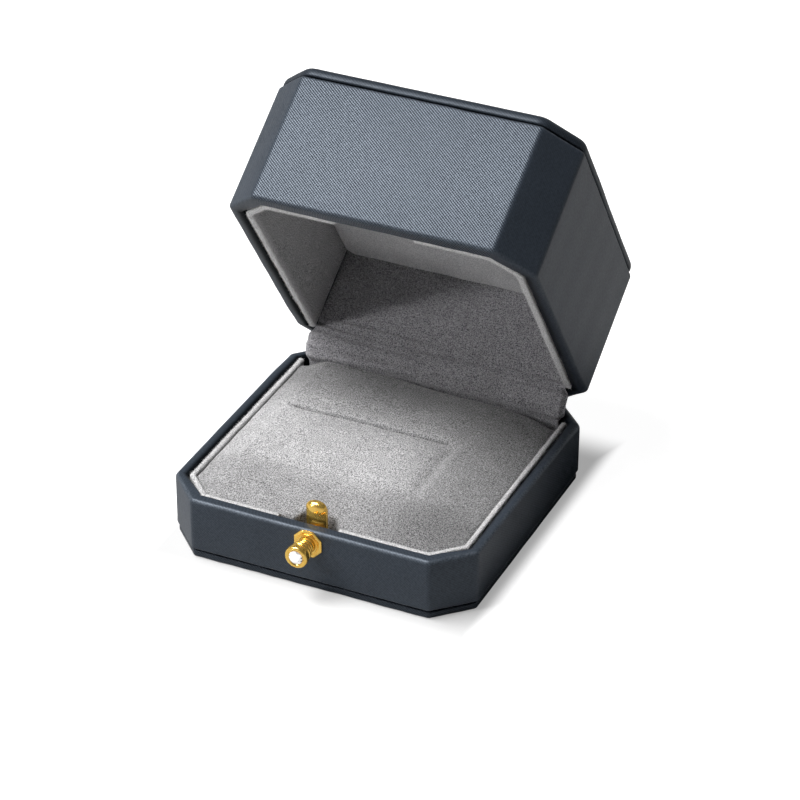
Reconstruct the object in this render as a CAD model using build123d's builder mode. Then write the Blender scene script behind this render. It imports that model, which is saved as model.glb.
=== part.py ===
from build123d import *
from math import cos, radians, sin, sqrt
import os

# Octagonal clamshell ring box with a push-button catch, shown open.
# Millimetres. +X to the right, +Y to the back, +Z up; the origin is the centre of the underside.
# The lid's pieces are drawn in the lid's own frame, where they stand as if the box were shut.

os.makedirs("parts", exist_ok=True)

# ---- driving dimensions: plan ----
WIDTH = 65.0            # across the flats, both ways
CORNER_LEG = 7.2        # each corner of the plan is cut by this much along both sides
CORNER_SOFT = 1.5       # rounding of the upright edges
LEATHER = 0.5           # covering leather

# ---- heights, with the box shut ----
FOOT_TOP = 1.5          # wrapped board under the base
BASE_LOW = 2.0          # lower edge of the base's leather
BASE_RIM = 13.2
LID_RIM = 13.5
LID_HIGH = 41.3         # upper edge of the lid's leather
TOP_LOW = 41.6          # wrapped board on the lid
TOP_HIGH = 44.0

# ---- walls ----
BASE_WALL = 1.5         # moulded shell
LID_WALL = 2.2
FLOOR = 1.5
RIM_ROUND = 1.3         # outer edge of the leather at both rims
EDGE_ROUND = 0.7        # outer edge of the leather away from the rims
FOOT_INSET = 0.4
TOP_INSET = 0.3
BOARD_SKIN = 0.4        # leather round the two boards
PLINTH_INSET = 3.0      # raised land that each board is glued to
TURN_IN = 8.0           # how far the leather runs down inside a wall

# ---- hinge ----
HINGE_Y = 31.4
HINGE_Z = 13.35
OPEN_DEG = 55.7         # how far the lid stands open
PIN_R = 0.5
PIN_HEAD = 0.35         # length of the pin's riveted-over ends
BARREL_R = 1.0
RUNNING = 0.05          # radial play of the moving knuckles on the pin
LEAF = 0.6
HINGE_HALF = 17.0       # half the hinge's length
POCKET_HALF = 17.8      # half the length of the notch that the barrel lies in
LEAF_DROP = 8.3         # how far each leaf reaches from the pin
LEAF_CLEAR = 0.2        # between a plate's edge and the other half's barrel
POCKET_CLEAR = 0.35     # round the barrel
SEAT_CLEAR = 0.1        # past the end of a leaf
BASE_KNUCKLES = ((-17.0, -13.0), (-2.0, 2.0), (13.0, 17.0))
LID_KNUCKLES = ((-12.8, -8.9), (8.9, 12.8))
LEAF_RIVETS = (-15.0, 0.0, 15.0)
RIVET_REACH = 5.4       # from the pin to the rivets of a leaf
RIVET_R = 0.5
RIVET_HEAD_R = 0.9
RIVET_HEAD = 0.35
RIVET_GRIP = 0.6        # how far a rivet goes into the shell
SPRING_SPANS = ((-8.5, -2.4), (2.4, 8.5))
SPRING_T = 0.25
SPRING_GAP = 0.05       # between a strip and the barrel
SPRING_REACH = 4.4      # straight length of a strip on each leaf

# ---- push button and catch ----
BUTTON_Z = 10.55
TRAVEL = 1.3
FLANGE_R = 3.15
FLANGE_T = 0.5
BUSH_R = 2.0
NECK_R = 1.65
STEM_R = 0.95
HEAD_R = 2.35
HEAD_FRONT = 38.1       # distance of the head's front from the centre
HOOK_W = 4.3
HOOK_BACK = 28.2
HOOK_T = 0.8
HOOK_LEDGE = 16.2       # underside of the hook's nose
HOOK_TOP = 17.9
NOSE_FRONT = 29.75
NOSE_STEP = 0.5         # height of the nose's edge, under its dome
NOSE_SOFT = 0.5         # rounding of the dome's front edge
HOOK_DROP = 2.2         # how far the hook reaches below the stem
THREAD = 0.3
BUSH_WALL = 1.0         # end wall of the bush, that guides the stem
NUT_R = 2.55
NUT_T = 0.5
COIL_WIRE = 0.12        # wire radius of the button's return spring
COIL_TURNS = 4
STONE_R = 1.45
STONE_SEAT = 0.7
STONE_CROWN = 0.45      # how far the stone stands out of its setting
RIVETED = 0.25          # length and spread of the stem's riveted-over end
KEEPER_W = 10.0
KEEPER_Y = 30.5
KEEPER_T = 0.5
KEEPER_TOP = 20.0
KEEPER_RIVETS = (-3.6, 3.6)
KEEPER_RIVET_Z = 18.4
KEEPER_GRIP = 0.5
LIP_W = 5.2
LIP_TIP = 29.3
LIP_LOW = 14.5
LIP_HIGH = 15.8

# ---- lining ----
CARD = 1.1              # velvet-covered card of the base
LINER = 1.2             # velvet-covered card of the lid
COLLAR_TOP = 13.0
PAD_INSET = 4.9
PAD_BACK = 24.0
PAD_BOARD_T = 1.5
PAD_EDGE = 12.2         # height of the pad at its edge
PAD_TOP = 15.6
PAD_CROWN = 0.6         # flat layer on top of the pad's slopes
PAD_SLOPE = 4.0         # width of the pad's slopes
BAY_FLOOR = 7.0         # bottom of the bay that the hook moves in
BAY_BACK = 26.2
BAY_CLEAR = 0.5
PANEL_Y = 24.8          # front face of both back panels
LINER_RIM = 13.8
CEILING = 31.3
CEILING_PAD = 1.3
PACKING_GAP = 1.5
LINER_TOP = 34.0
BASE_NOTCH = (-7.3, 4.6)
LID_NOTCH = (-8.0, 7.2)
FLAP_R = 6.5            # the velvet hinge flap bows round the pin at this radius
FLAP_T = 0.8
FLAP_TAIL = 3.0
FLAP_HALF = 27.4
SLOT_X = (-21.5, 14.5)  # pocket in the pad, for the ring bar
SLOT_Y = (-15.0, 5.0)
BAR_X = (-21.0, 14.0)
BAR_Y = (-14.5, 4.3)    # leaves the 0.7 mm ring slot behind the bar
BAR_FLOOR = 6.5
BAR_SOFT = 0.8
INSIDE = 26.0           # cutters for a wall start this far from the centre, clear inside the linings
WALL_FACE = 28.5        # cutters for a shell start this far from the centre, clear inside the shells

# ---- frames ----
turn = radians(OPEN_DEG)
LID = Plane(
    origin=(
        0,
        HINGE_Y - HINGE_Y * cos(turn) - HINGE_Z * sin(turn),
        HINGE_Z + HINGE_Y * sin(turn) - HINGE_Z * cos(turn),
    ),
    x_dir=(1, 0, 0),
    z_dir=(0, sin(turn), cos(turn)),
)
BASE = Plane.XY


def octagon(inset, soft=CORNER_SOFT):
    """Plan of the box, moved inwards by inset, in the open sketch."""
    side = WIDTH - 2 * inset
    Rectangle(side, side)
    chamfer(vertices(), CORNER_LEG - inset * (2 - sqrt(2)))
    fillet(vertices(), max(soft - inset, 0.4))


def prism(frame, low, high, inset, mode=Mode.ADD):
    """Octagonal block between two heights of a frame."""
    with BuildSketch(frame.offset(low)) as plan:
        octagon(inset)
    extrude(plan.sketch, amount=high - low, mode=mode)


def block(frame, width, depth, heights, mode=Mode.ADD):
    """Square-cornered block; each range is (low, high) in the frame."""
    with BuildSketch(frame.offset(heights[0])) as plan:
        with Locations(((width[0] + width[1]) / 2, (depth[0] + depth[1]) / 2)):
            Rectangle(width[1] - width[0], depth[1] - depth[0])
    extrude(plan.sketch, amount=heights[1] - heights[0], mode=mode)


def facing(frame, x, height):
    """Plane through the frame's centre line that looks out of the front, at a point of the front view."""
    centre = frame.from_local_coords((x, 0, height))
    return Plane(origin=centre, x_dir=frame.x_dir, z_dir=-frame.y_dir)


def rod(frame, x, height, depths, radius, mode=Mode.ADD):
    """Round bar that runs front to back; depths are y values, from the back to the front."""
    with BuildSketch(facing(frame, x, height).offset(-depths[0])) as end:
        Circle(radius)
    extrude(end.sketch, amount=depths[0] - depths[1], mode=mode)


def across(frame, x):
    """Plane square to the hinge pin, looking to the right; its x is the frame's y."""
    return Plane(origin=frame.from_local_coords((x, HINGE_Y, HINGE_Z)), x_dir=frame.y_dir, z_dir=frame.x_dir)


def barrel(frame, left, right, radius, mode=Mode.ADD):
    """Round bar on the hinge's axis."""
    with BuildSketch(across(frame, left)) as end:
        Circle(radius)
    extrude(end.sketch, amount=right - left, mode=mode)


def casing(frame, low, high, inset, low_round, high_round):
    """Solid octagonal block with a rounded lower and upper edge."""
    up = Axis(frame.origin, frame.z_dir)
    with BuildPart() as whole:
        prism(frame, low, high, inset)
        fillet(whole.edges().group_by(up)[0], low_round)
        fillet(whole.edges().group_by(up)[-1], high_round)
    return whole.part


def hinge_leaf(frame, side, knuckles, bore):
    """Plate and knuckles of one half of the hinge; side is +1 above the pin and -1 below it."""
    front = HINGE_Y - BARREL_R
    clear = BARREL_R + LEAF_CLEAR
    tip = HINGE_Z + side * LEAF_DROP
    heel = HINGE_Z + side * clear
    with BuildPart() as leaf:
        block(frame, (-HINGE_HALF, HINGE_HALF), (front, front + LEAF), (min(tip, heel), max(tip, heel)))
        for left, right in knuckles:
            block(frame, (left, right), (front, front + LEAF), (min(HINGE_Z, heel), max(HINGE_Z, heel)))
            barrel(frame, left, right, BARREL_R)
        barrel(frame, -HINGE_HALF, HINGE_HALF, bore, mode=Mode.SUBTRACT)
        for x in LEAF_RIVETS:
            rod(frame, x, rivet_height(side), (front + LEAF, front), RIVET_R, mode=Mode.SUBTRACT)
    return leaf.part


def rivet_height(side):
    """Height of a leaf's rivets in the leaf's own frame."""
    return HINGE_Z + side * RIVET_REACH


def leaf_rivets(frame, side):
    """The three rivets of one hinge leaf."""
    front = HINGE_Y - BARREL_R
    with BuildPart() as rivets:
        for x in LEAF_RIVETS:
            rod(frame, x, rivet_height(side), (front + LEAF + RIVET_GRIP, front), RIVET_R)
            rod(frame, x, rivet_height(side), (front, front - RIVET_HEAD), RIVET_HEAD_R)
    return rivets.part


def hinge_pocket(frame, side):
    """Cuts the seat of a hinge leaf and the notch of the barrel out of the wall being made."""
    deep = HINGE_Y - BARREL_R + LEAF
    tip = HINGE_Z + side * (LEAF_DROP + SEAT_CLEAR)
    notch = HINGE_Z + side * (BARREL_R + POCKET_CLEAR)
    seat = (min(tip, HINGE_Z), max(tip, HINGE_Z))
    mouth = (min(notch, HINGE_Z), max(notch, HINGE_Z))
    block(frame, (-POCKET_HALF, POCKET_HALF), (WALL_FACE, deep), seat, mode=Mode.SUBTRACT)
    block(frame, (-POCKET_HALF, POCKET_HALF), (WALL_FACE, WIDTH / 2 + 1), mouth, mode=Mode.SUBTRACT)


# ---- base: wrapped board under the box ----
foot_block = casing(BASE, 0.0, FOOT_TOP, FOOT_INSET, 0.4, 0.4)

with BuildPart() as base_board:
    prism(BASE, BOARD_SKIN, FOOT_TOP - 0.1, FOOT_INSET + BOARD_SKIN)
base_board.part.label = "base_board"
export_step(base_board.part, "parts/base_board.step")

with BuildPart() as base_board_wrap:
    add(foot_block)
    prism(BASE, BOARD_SKIN, FOOT_TOP - 0.1, FOOT_INSET + BOARD_SKIN, mode=Mode.SUBTRACT)
    prism(BASE, FOOT_TOP - 0.1, FOOT_TOP, FOOT_INSET + 6.0, mode=Mode.SUBTRACT)
base_board_wrap.part.label = "base_board_wrap"
export_step(base_board_wrap.part, "parts/base_board_wrap.step")

# ---- base: moulded shell and its leather ----
base_skin = casing(BASE, BASE_LOW, BASE_RIM, 0.0, EDGE_ROUND, RIM_ROUND)
base_core = casing(BASE, BASE_LOW + LEATHER, BASE_RIM - LEATHER, LEATHER, EDGE_ROUND - LEATHER + 0.1,
                   RIM_ROUND - LEATHER)
base_inner = LEATHER + BASE_WALL
base_floor = BASE_LOW + LEATHER + FLOOR
front_wall = (-WALL_FACE, -WIDTH / 2 - 1)

with BuildPart() as base_shell:
    add(base_core)
    prism(BASE, FOOT_TOP, BASE_LOW + LEATHER, PLINTH_INSET)
    prism(BASE, base_floor, BASE_RIM, base_inner, mode=Mode.SUBTRACT)
    rod(BASE, 0, BUTTON_Z, front_wall, BUSH_R, mode=Mode.SUBTRACT)
    hinge_pocket(BASE, -1)
    for x in LEAF_RIVETS:
        rod(BASE, x, rivet_height(-1), (HINGE_Y - BARREL_R + LEAF + RIVET_GRIP, WALL_FACE), RIVET_R,
            mode=Mode.SUBTRACT)
base_shell.part.label = "base_shell"
export_step(base_shell.part, "parts/base_shell.step")

with BuildPart() as base_wrap:
    add(base_skin)
    add(base_core, mode=Mode.SUBTRACT)
    prism(BASE, BASE_RIM - TURN_IN, BASE_RIM - LEATHER / 2, base_inner)
    prism(BASE, BASE_RIM - TURN_IN, BASE_RIM + 1, base_inner + LEATHER, mode=Mode.SUBTRACT)
    prism(BASE, BASE_LOW, BASE_LOW + LEATHER, PLINTH_INSET, mode=Mode.SUBTRACT)
    rod(BASE, 0, BUTTON_Z, front_wall, BUSH_R, mode=Mode.SUBTRACT)
    hinge_pocket(BASE, -1)
base_wrap.part.label = "base_wrap"
export_step(base_wrap.part, "parts/base_wrap.step")

# ---- base: velvet-covered collar card ----
collar_outer = base_inner + LEATHER + 0.1
with BuildPart() as base_collar:
    prism(BASE, base_floor, COLLAR_TOP, collar_outer)
    prism(BASE, base_floor, COLLAR_TOP, collar_outer + CARD, mode=Mode.SUBTRACT)
    block(BASE, (-WIDTH / 2, WIDTH / 2), (PAD_BACK + 0.3, WIDTH / 2), (base_floor, COLLAR_TOP),
          mode=Mode.SUBTRACT)
    block(BASE, BASE_NOTCH, (-WIDTH / 2, -INSIDE), (BAY_FLOOR, COLLAR_TOP), mode=Mode.SUBTRACT)
base_collar.part.label = "base_collar"
export_step(base_collar.part, "parts/base_collar.step")

with BuildPart() as base_back_panel:
    prism(BASE, base_floor, HINGE_Z - FLAP_TAIL - 0.1, collar_outer)
    block(BASE, (-WIDTH / 2, WIDTH / 2), (PANEL_Y, PANEL_Y + CARD), (base_floor, HINGE_Z),
          mode=Mode.INTERSECT)
base_back_panel.part.label = "base_back_panel"
export_step(base_back_panel.part, "parts/base_back_panel.step")

# ---- base: pad on its board, and the bar that grips the ring ----
pad_foot = base_floor + PAD_BOARD_T
hook_bay = (-HOOK_W / 2 - BAY_CLEAR, HOOK_W / 2 + BAY_CLEAR)

with BuildPart() as pad_board:
    prism(BASE, base_floor, pad_foot, PAD_INSET)
    block(BASE, (-WIDTH / 2, WIDTH / 2), (PAD_BACK, WIDTH / 2), (base_floor, pad_foot), mode=Mode.SUBTRACT)
pad_board.part.label = "pad_board"
export_step(pad_board.part, "parts/pad_board.step")

with BuildPart() as pad_foam:
    prism(BASE, pad_foot, PAD_EDGE, PAD_INSET)
    with BuildSketch(BASE.offset(PAD_EDGE)):
        octagon(PAD_INSET)
    with BuildSketch(BASE.offset(PAD_TOP - PAD_CROWN)):
        octagon(PAD_INSET + PAD_SLOPE)
    loft()
    prism(BASE, PAD_TOP - PAD_CROWN, PAD_TOP, PAD_INSET + PAD_SLOPE)
    block(BASE, (-WIDTH / 2, WIDTH / 2), (PAD_BACK, WIDTH / 2), (pad_foot, PAD_TOP), mode=Mode.SUBTRACT)
    block(BASE, hook_bay, (-WIDTH / 2, -BAY_BACK), (BAY_FLOOR, PAD_TOP), mode=Mode.SUBTRACT)
    block(BASE, SLOT_X, SLOT_Y, (BAR_FLOOR, PAD_TOP), mode=Mode.SUBTRACT)
pad_foam.part.label = "pad_foam"
export_step(pad_foam.part, "parts/pad_foam.step")

with BuildPart() as ring_bar:
    block(BASE, BAR_X, BAR_Y, (BAR_FLOOR, PAD_TOP - PAD_CROWN))
    fillet(ring_bar.edges().group_by(Axis.Z)[-1], BAR_SOFT)
ring_bar.part.label = "ring_bar"
export_step(ring_bar.part, "parts/ring_bar.step")

# ---- hinge ----
hinge_base_leaf = hinge_leaf(BASE, -1, BASE_KNUCKLES, PIN_R)
hinge_base_leaf.label = "hinge_base_leaf"
export_step(hinge_base_leaf, "parts/hinge_base_leaf.step")

hinge_lid_leaf = hinge_leaf(LID, 1, LID_KNUCKLES, PIN_R + RUNNING)
hinge_lid_leaf.label = "hinge_lid_leaf"
export_step(hinge_lid_leaf, "parts/hinge_lid_leaf.step")

base_hinge_rivets = leaf_rivets(BASE, -1)
base_hinge_rivets.label = "base_hinge_rivets"
export_step(base_hinge_rivets, "parts/base_hinge_rivets.step")

lid_hinge_rivets = leaf_rivets(LID, 1)
lid_hinge_rivets.label = "lid_hinge_rivets"
export_step(lid_hinge_rivets, "parts/lid_hinge_rivets.step")

with BuildPart() as hinge_pin:
    barrel(BASE, -HINGE_HALF - PIN_HEAD, HINGE_HALF + PIN_HEAD, PIN_R)
    barrel(BASE, -HINGE_HALF - PIN_HEAD, -HINGE_HALF - 0.05, PIN_R + 0.3)
    barrel(BASE, HINGE_HALF + 0.05, HINGE_HALF + PIN_HEAD, PIN_R + 0.3)
hinge_pin.part.label = "hinge_pin"
export_step(hinge_pin.part, "parts/hinge_pin.step")

# Two strips of spring steel, set to the bend that they have here: shutting the box straightens them.
strip_mid = BARREL_R + SPRING_GAP + SPRING_T / 2
with BuildPart() as hinge_spring:
    for left, right in SPRING_SPANS:
        with BuildSketch(across(BASE, left)):
            with BuildLine():
                Line((-strip_mid, -SPRING_REACH), (-strip_mid, 0))
                bend = CenterArc((0, 0), strip_mid, 180, -OPEN_DEG)
                Line(bend @ 1, bend @ 1 + (bend % 1) * SPRING_REACH)
            trace(line_width=SPRING_T)
        extrude(amount=right - left)
hinge_spring.part.label = "hinge_spring"
export_step(hinge_spring.part, "parts/hinge_spring.step")

# ---- velvet flap that bows over the hinge, from the base's back panel to the lid's ----
flap_mid = FLAP_R - FLAP_T / 2
with BuildPart() as hinge_flap:
    with BuildSketch(Plane(origin=(0, HINGE_Y, HINGE_Z), x_dir=(0, 1, 0), z_dir=(1, 0, 0))):
        with BuildLine():
            tail = Line((-flap_mid - 0.1, -FLAP_TAIL), (-flap_mid - 0.1, 0))
            bow = CenterArc((0, 0), flap_mid + 0.1, 180, -OPEN_DEG)
            Line(bow @ 1, bow @ 1 + (bow % 1) * FLAP_TAIL)
        trace(line_width=FLAP_T)
    extrude(amount=FLAP_HALF, both=True)
hinge_flap.part.label = "hinge_flap"
export_step(hinge_flap.part, "parts/hinge_flap.step")

# ---- catch: flange, bush, nut and return spring in the front wall ----
wall_in = -(WIDTH / 2 - LEATHER - BASE_WALL - LEATHER)
flange_front = -WIDTH / 2 - FLANGE_T
bush_end = -HOOK_BACK - HOOK_T - 0.1

with BuildPart() as latch_flange:
    with BuildSketch(facing(BASE, 0, BUTTON_Z).offset(WIDTH / 2)):
        RegularPolygon(FLANGE_R, 8, rotation=22.5)
    extrude(amount=FLANGE_T)
    chamfer(latch_flange.edges().group_by(Axis.Y)[0], 0.15)
    rod(BASE, 0, BUTTON_Z, (-WIDTH / 2 + 1, flange_front - 1), BUSH_R, mode=Mode.SUBTRACT)
latch_flange.part.label = "latch_flange"
export_step(latch_flange.part, "parts/latch_flange.step")

spring_seat = -(WIDTH / 2 - 2.0)
with BuildPart() as latch_bush:
    rod(BASE, 0, BUTTON_Z, (bush_end, flange_front - 0.1), BUSH_R - THREAD)
    rod(BASE, 0, BUTTON_Z, (wall_in, flange_front - 0.1), BUSH_R)
    rod(BASE, 0, BUTTON_Z, (spring_seat, flange_front - 1), NECK_R + 0.1, mode=Mode.SUBTRACT)
    rod(BASE, 0, BUTTON_Z, (bush_end + BUSH_WALL, flange_front - 1), STEM_R + RUNNING, mode=Mode.SUBTRACT)
latch_bush.part.label = "latch_bush"
export_step(latch_bush.part, "parts/latch_bush.step")

with BuildPart() as latch_nut:
    with BuildSketch(facing(BASE, 0, BUTTON_Z).offset(-wall_in)):
        RegularPolygon(NUT_R, 6)
        Circle(BUSH_R - THREAD, mode=Mode.SUBTRACT)
    extrude(amount=-NUT_T)
latch_nut.part.label = "latch_nut"
export_step(latch_nut.part, "parts/latch_nut.step")

coil_r = (NECK_R + STEM_R) / 2 + 0.05
coil_high = spring_seat - flange_front - 2 * COIL_WIRE - 0.1
with BuildPart() as button_spring:
    with BuildLine():
        coil = Helix(pitch=coil_high / COIL_TURNS, height=coil_high, radius=coil_r,
                     center=(0, spring_seat - COIL_WIRE - 0.05, BUTTON_Z), direction=(0, -1, 0))
    with BuildSketch(Plane(origin=coil @ 0, z_dir=coil % 0)):
        Circle(COIL_WIRE)
    sweep(is_frenet=True)
button_spring.part.label = "button_spring"
export_step(button_spring.part, "parts/button_spring.step")

# ---- catch: the moving button, its stone, and the hook on the end of its stem ----
# The head is turned: half its outline, as (distance from the axis, distance in front of the centre).
neck_back = -flange_front
with BuildPart() as button_head:
    with BuildSketch(Plane(origin=(0, 0, BUTTON_Z), x_dir=(1, 0, 0), z_dir=(0, 0, 1))):
        with BuildLine():
            Polyline(
                (0, -neck_back),
                (NECK_R, -neck_back),
                (NECK_R, -neck_back - 1.2),
                (NECK_R - 0.25, -neck_back - 1.35),
                (NECK_R - 0.25, -neck_back - 1.55),
                (NECK_R + 0.05, -neck_back - 1.7),
                (NECK_R + 0.05, -neck_back - 2.2),
                (NECK_R - 0.2, -neck_back - 2.4),
                (NECK_R - 0.2, -neck_back - 2.6),
                (HEAD_R - 0.25, -neck_back - 2.8),
                (HEAD_R - 0.25, -neck_back - 3.3),
                (HEAD_R - 0.4, -neck_back - 3.45),
                (HEAD_R, -neck_back - 3.7),
                (HEAD_R, -HEAD_FRONT + 0.25),
                (HEAD_R - 0.25, -HEAD_FRONT),
                (STONE_R + 0.12, -HEAD_FRONT),
                (STONE_R, -HEAD_FRONT + 0.12),
                (STONE_R, -HEAD_FRONT + STONE_SEAT),
                (0, -HEAD_FRONT + STONE_SEAT),
                close=True,
            )
        make_face()
    revolve(axis=Axis((0, 0, BUTTON_Z), (0, 1, 0)))
button_head.part.label = "button_head"
export_step(button_head.part, "parts/button_head.step")

with BuildPart() as crystal:
    with BuildSketch(facing(BASE, 0, BUTTON_Z).offset(HEAD_FRONT - STONE_SEAT)):
        RegularPolygon(STONE_R, 16)
    extrude(amount=STONE_SEAT)
    with BuildSketch(facing(BASE, 0, BUTTON_Z).offset(HEAD_FRONT)):
        RegularPolygon(STONE_R, 16)
    with BuildSketch(facing(BASE, 0, BUTTON_Z).offset(HEAD_FRONT + STONE_CROWN)):
        RegularPolygon(STONE_R * 0.6, 8, rotation=22.5)
    loft(ruled=True)
crystal.part.label = "crystal"
export_step(crystal.part, "parts/crystal.step")

with BuildPart() as button_stem:
    rod(BASE, 0, BUTTON_Z, (-HOOK_BACK + RIVETED, flange_front), STEM_R)
    rod(BASE, 0, BUTTON_Z, (-HOOK_BACK + RIVETED, -HOOK_BACK), STEM_R + RIVETED)
button_stem.part.label = "button_stem"
export_step(button_stem.part, "parts/button_stem.step")

hook_low = BUTTON_Z - HOOK_DROP
nose_r = HOOK_W / 2
with BuildPart() as catch_hook:
    block(BASE, (-HOOK_W / 2, HOOK_W / 2), (-HOOK_BACK - HOOK_T, -HOOK_BACK), (hook_low, HOOK_LEDGE))
    with BuildSketch(facing(BASE, 0, 0).offset(HOOK_BACK - 0.1)):
        with Locations((0, HOOK_LEDGE + NOSE_STEP / 2)):
            Rectangle(HOOK_W, NOSE_STEP)
        with Locations((0, HOOK_LEDGE + NOSE_STEP)):
            Ellipse(nose_r, HOOK_TOP - HOOK_LEDGE - NOSE_STEP)
        with Locations((0, hook_low)):
            Rectangle(HOOK_W, 2 * (HOOK_LEDGE - hook_low), mode=Mode.SUBTRACT)
    extrude(amount=NOSE_FRONT - HOOK_BACK + 0.1)
    fillet(catch_hook.edges().group_by(Axis.Y)[0].filter_by(GeomType.ELLIPSE), NOSE_SOFT)
    rod(BASE, 0, BUTTON_Z, (-HOOK_BACK + 1, -HOOK_BACK - HOOK_T - 1), STEM_R, mode=Mode.SUBTRACT)
catch_hook.part.label = "catch_hook"
export_step(catch_hook.part, "parts/catch_hook.step")

# ---- lid: moulded shell and its leather ----
lid_skin = casing(LID, LID_RIM, LID_HIGH, 0.0, RIM_ROUND, EDGE_ROUND)
lid_core = casing(LID, LID_RIM + LEATHER, LID_HIGH - LEATHER, LEATHER, RIM_ROUND - LEATHER,
                  EDGE_ROUND - LEATHER + 0.1)
lid_inner = LEATHER + LID_WALL
lid_roof = LID_HIGH - LEATHER - FLOOR
keeper_seat = ((-KEEPER_W / 2, KEEPER_W / 2), (-KEEPER_Y - KEEPER_T, -INSIDE), (LID_RIM, KEEPER_TOP))

with BuildPart() as lid_shell:
    add(lid_core)
    prism(LID, LID_HIGH - LEATHER, TOP_LOW, PLINTH_INSET)
    prism(LID, LID_RIM, lid_roof, lid_inner, mode=Mode.SUBTRACT)
    hinge_pocket(LID, 1)
    block(LID, *keeper_seat, mode=Mode.SUBTRACT)
    for x in LEAF_RIVETS:
        rod(LID, x, rivet_height(1), (HINGE_Y - BARREL_R + LEAF + RIVET_GRIP, WALL_FACE), RIVET_R,
            mode=Mode.SUBTRACT)
    for x in KEEPER_RIVETS:
        rod(LID, x, KEEPER_RIVET_Z, (-WALL_FACE, -KEEPER_Y - KEEPER_T - KEEPER_GRIP), RIVET_R,
            mode=Mode.SUBTRACT)
lid_shell.part.label = "lid_shell"
export_step(lid_shell.part, "parts/lid_shell.step")

with BuildPart() as lid_wrap:
    add(lid_skin)
    add(lid_core, mode=Mode.SUBTRACT)
    prism(LID, LID_RIM + LEATHER / 2, LID_RIM + TURN_IN, lid_inner)
    prism(LID, LID_RIM - 1, LID_RIM + TURN_IN, lid_inner + LEATHER, mode=Mode.SUBTRACT)
    prism(LID, LID_HIGH - LEATHER, LID_HIGH, PLINTH_INSET, mode=Mode.SUBTRACT)
    hinge_pocket(LID, 1)
    block(LID, *keeper_seat, mode=Mode.SUBTRACT)
lid_wrap.part.label = "lid_wrap"
export_step(lid_wrap.part, "parts/lid_wrap.step")

# ---- lid: wrapped board on top ----
top_block = casing(LID, TOP_LOW, TOP_HIGH, TOP_INSET, 0.7, 1.0)
with BuildPart() as top_board:
    prism(LID, TOP_LOW + 0.2, TOP_HIGH - BOARD_SKIN, TOP_INSET + BOARD_SKIN)
    fillet(top_board.edges().group_by(Axis(LID.origin, LID.z_dir))[-1], 0.7)
top_board.part.label = "top_board"
export_step(top_board.part, "parts/top_board.step")

with BuildPart() as top_board_wrap:
    add(top_block)
    add(top_board.part, mode=Mode.SUBTRACT)
    prism(LID, TOP_LOW, TOP_LOW + 0.2, TOP_INSET + 6.0, mode=Mode.SUBTRACT)
top_board_wrap.part.label = "top_board_wrap"
export_step(top_board_wrap.part, "parts/top_board_wrap.step")

# ---- lid: lining ----
liner_outer = lid_inner + LEATHER + 0.1
all_across = (-WIDTH / 2, WIDTH / 2)
with BuildPart() as lid_liner:
    prism(LID, LINER_RIM, LINER_TOP, liner_outer)
    prism(LID, LINER_RIM, LINER_TOP, liner_outer + LINER, mode=Mode.SUBTRACT)
    block(LID, all_across, (PANEL_Y - 0.1, WIDTH / 2), (LINER_RIM, LINER_TOP), mode=Mode.SUBTRACT)
    block(LID, LID_NOTCH, (-WIDTH / 2, -INSIDE), (LINER_RIM, KEEPER_TOP + 0.3), mode=Mode.SUBTRACT)
lid_liner.part.label = "lid_liner"
export_step(lid_liner.part, "parts/lid_liner.step")

with BuildPart() as lid_back_panel:
    prism(LID, HINGE_Z + FLAP_TAIL + 0.1, LINER_TOP, liner_outer)
    block(LID, all_across, (PANEL_Y, PANEL_Y + CARD), (HINGE_Z, LINER_TOP), mode=Mode.INTERSECT)
lid_back_panel.part.label = "lid_back_panel"
export_step(lid_back_panel.part, "parts/lid_back_panel.step")

ceiling_inset = liner_outer + LINER + 0.1
with BuildPart() as lid_ceiling_pad:
    prism(LID, CEILING, CEILING + CEILING_PAD, ceiling_inset)
    block(LID, all_across, (PANEL_Y - 0.1, WIDTH / 2), (CEILING, LINER_TOP), mode=Mode.SUBTRACT)
lid_ceiling_pad.part.label = "lid_ceiling_pad"
export_step(lid_ceiling_pad.part, "parts/lid_ceiling_pad.step")

with BuildPart() as lid_ceiling_board:
    prism(LID, CEILING + CEILING_PAD, LINER_TOP, ceiling_inset)
    block(LID, all_across, (PANEL_Y - 0.1, WIDTH / 2), (CEILING, LINER_TOP), mode=Mode.SUBTRACT)
lid_ceiling_board.part.label = "lid_ceiling_board"
export_step(lid_ceiling_board.part, "parts/lid_ceiling_board.step")

with BuildPart() as lid_packing:
    prism(LID, LINER_TOP, lid_roof, liner_outer + PACKING_GAP)
lid_packing.part.label = "lid_packing"
export_step(lid_packing.part, "parts/lid_packing.step")

# ---- lid: keeper that the hook catches ----
with BuildPart() as keeper_plate:
    block(LID, (-KEEPER_W / 2 + 0.1, KEEPER_W / 2 - 0.1), (-KEEPER_Y - KEEPER_T, -KEEPER_Y),
          (LIP_LOW, KEEPER_TOP - 0.1))
    block(LID, (-LIP_W / 2, LIP_W / 2), (-KEEPER_Y, -LIP_TIP), (LIP_LOW, LIP_HIGH))
    fillet(keeper_plate.edges().filter_by(Axis.X).sort_by(Axis(LID.origin, LID.y_dir))[-2:], 0.3)
    for x in KEEPER_RIVETS:
        rod(LID, x, KEEPER_RIVET_Z, (-KEEPER_Y, -KEEPER_Y - KEEPER_T), RIVET_R, mode=Mode.SUBTRACT)
keeper_plate.part.label = "keeper_plate"
export_step(keeper_plate.part, "parts/keeper_plate.step")

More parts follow.
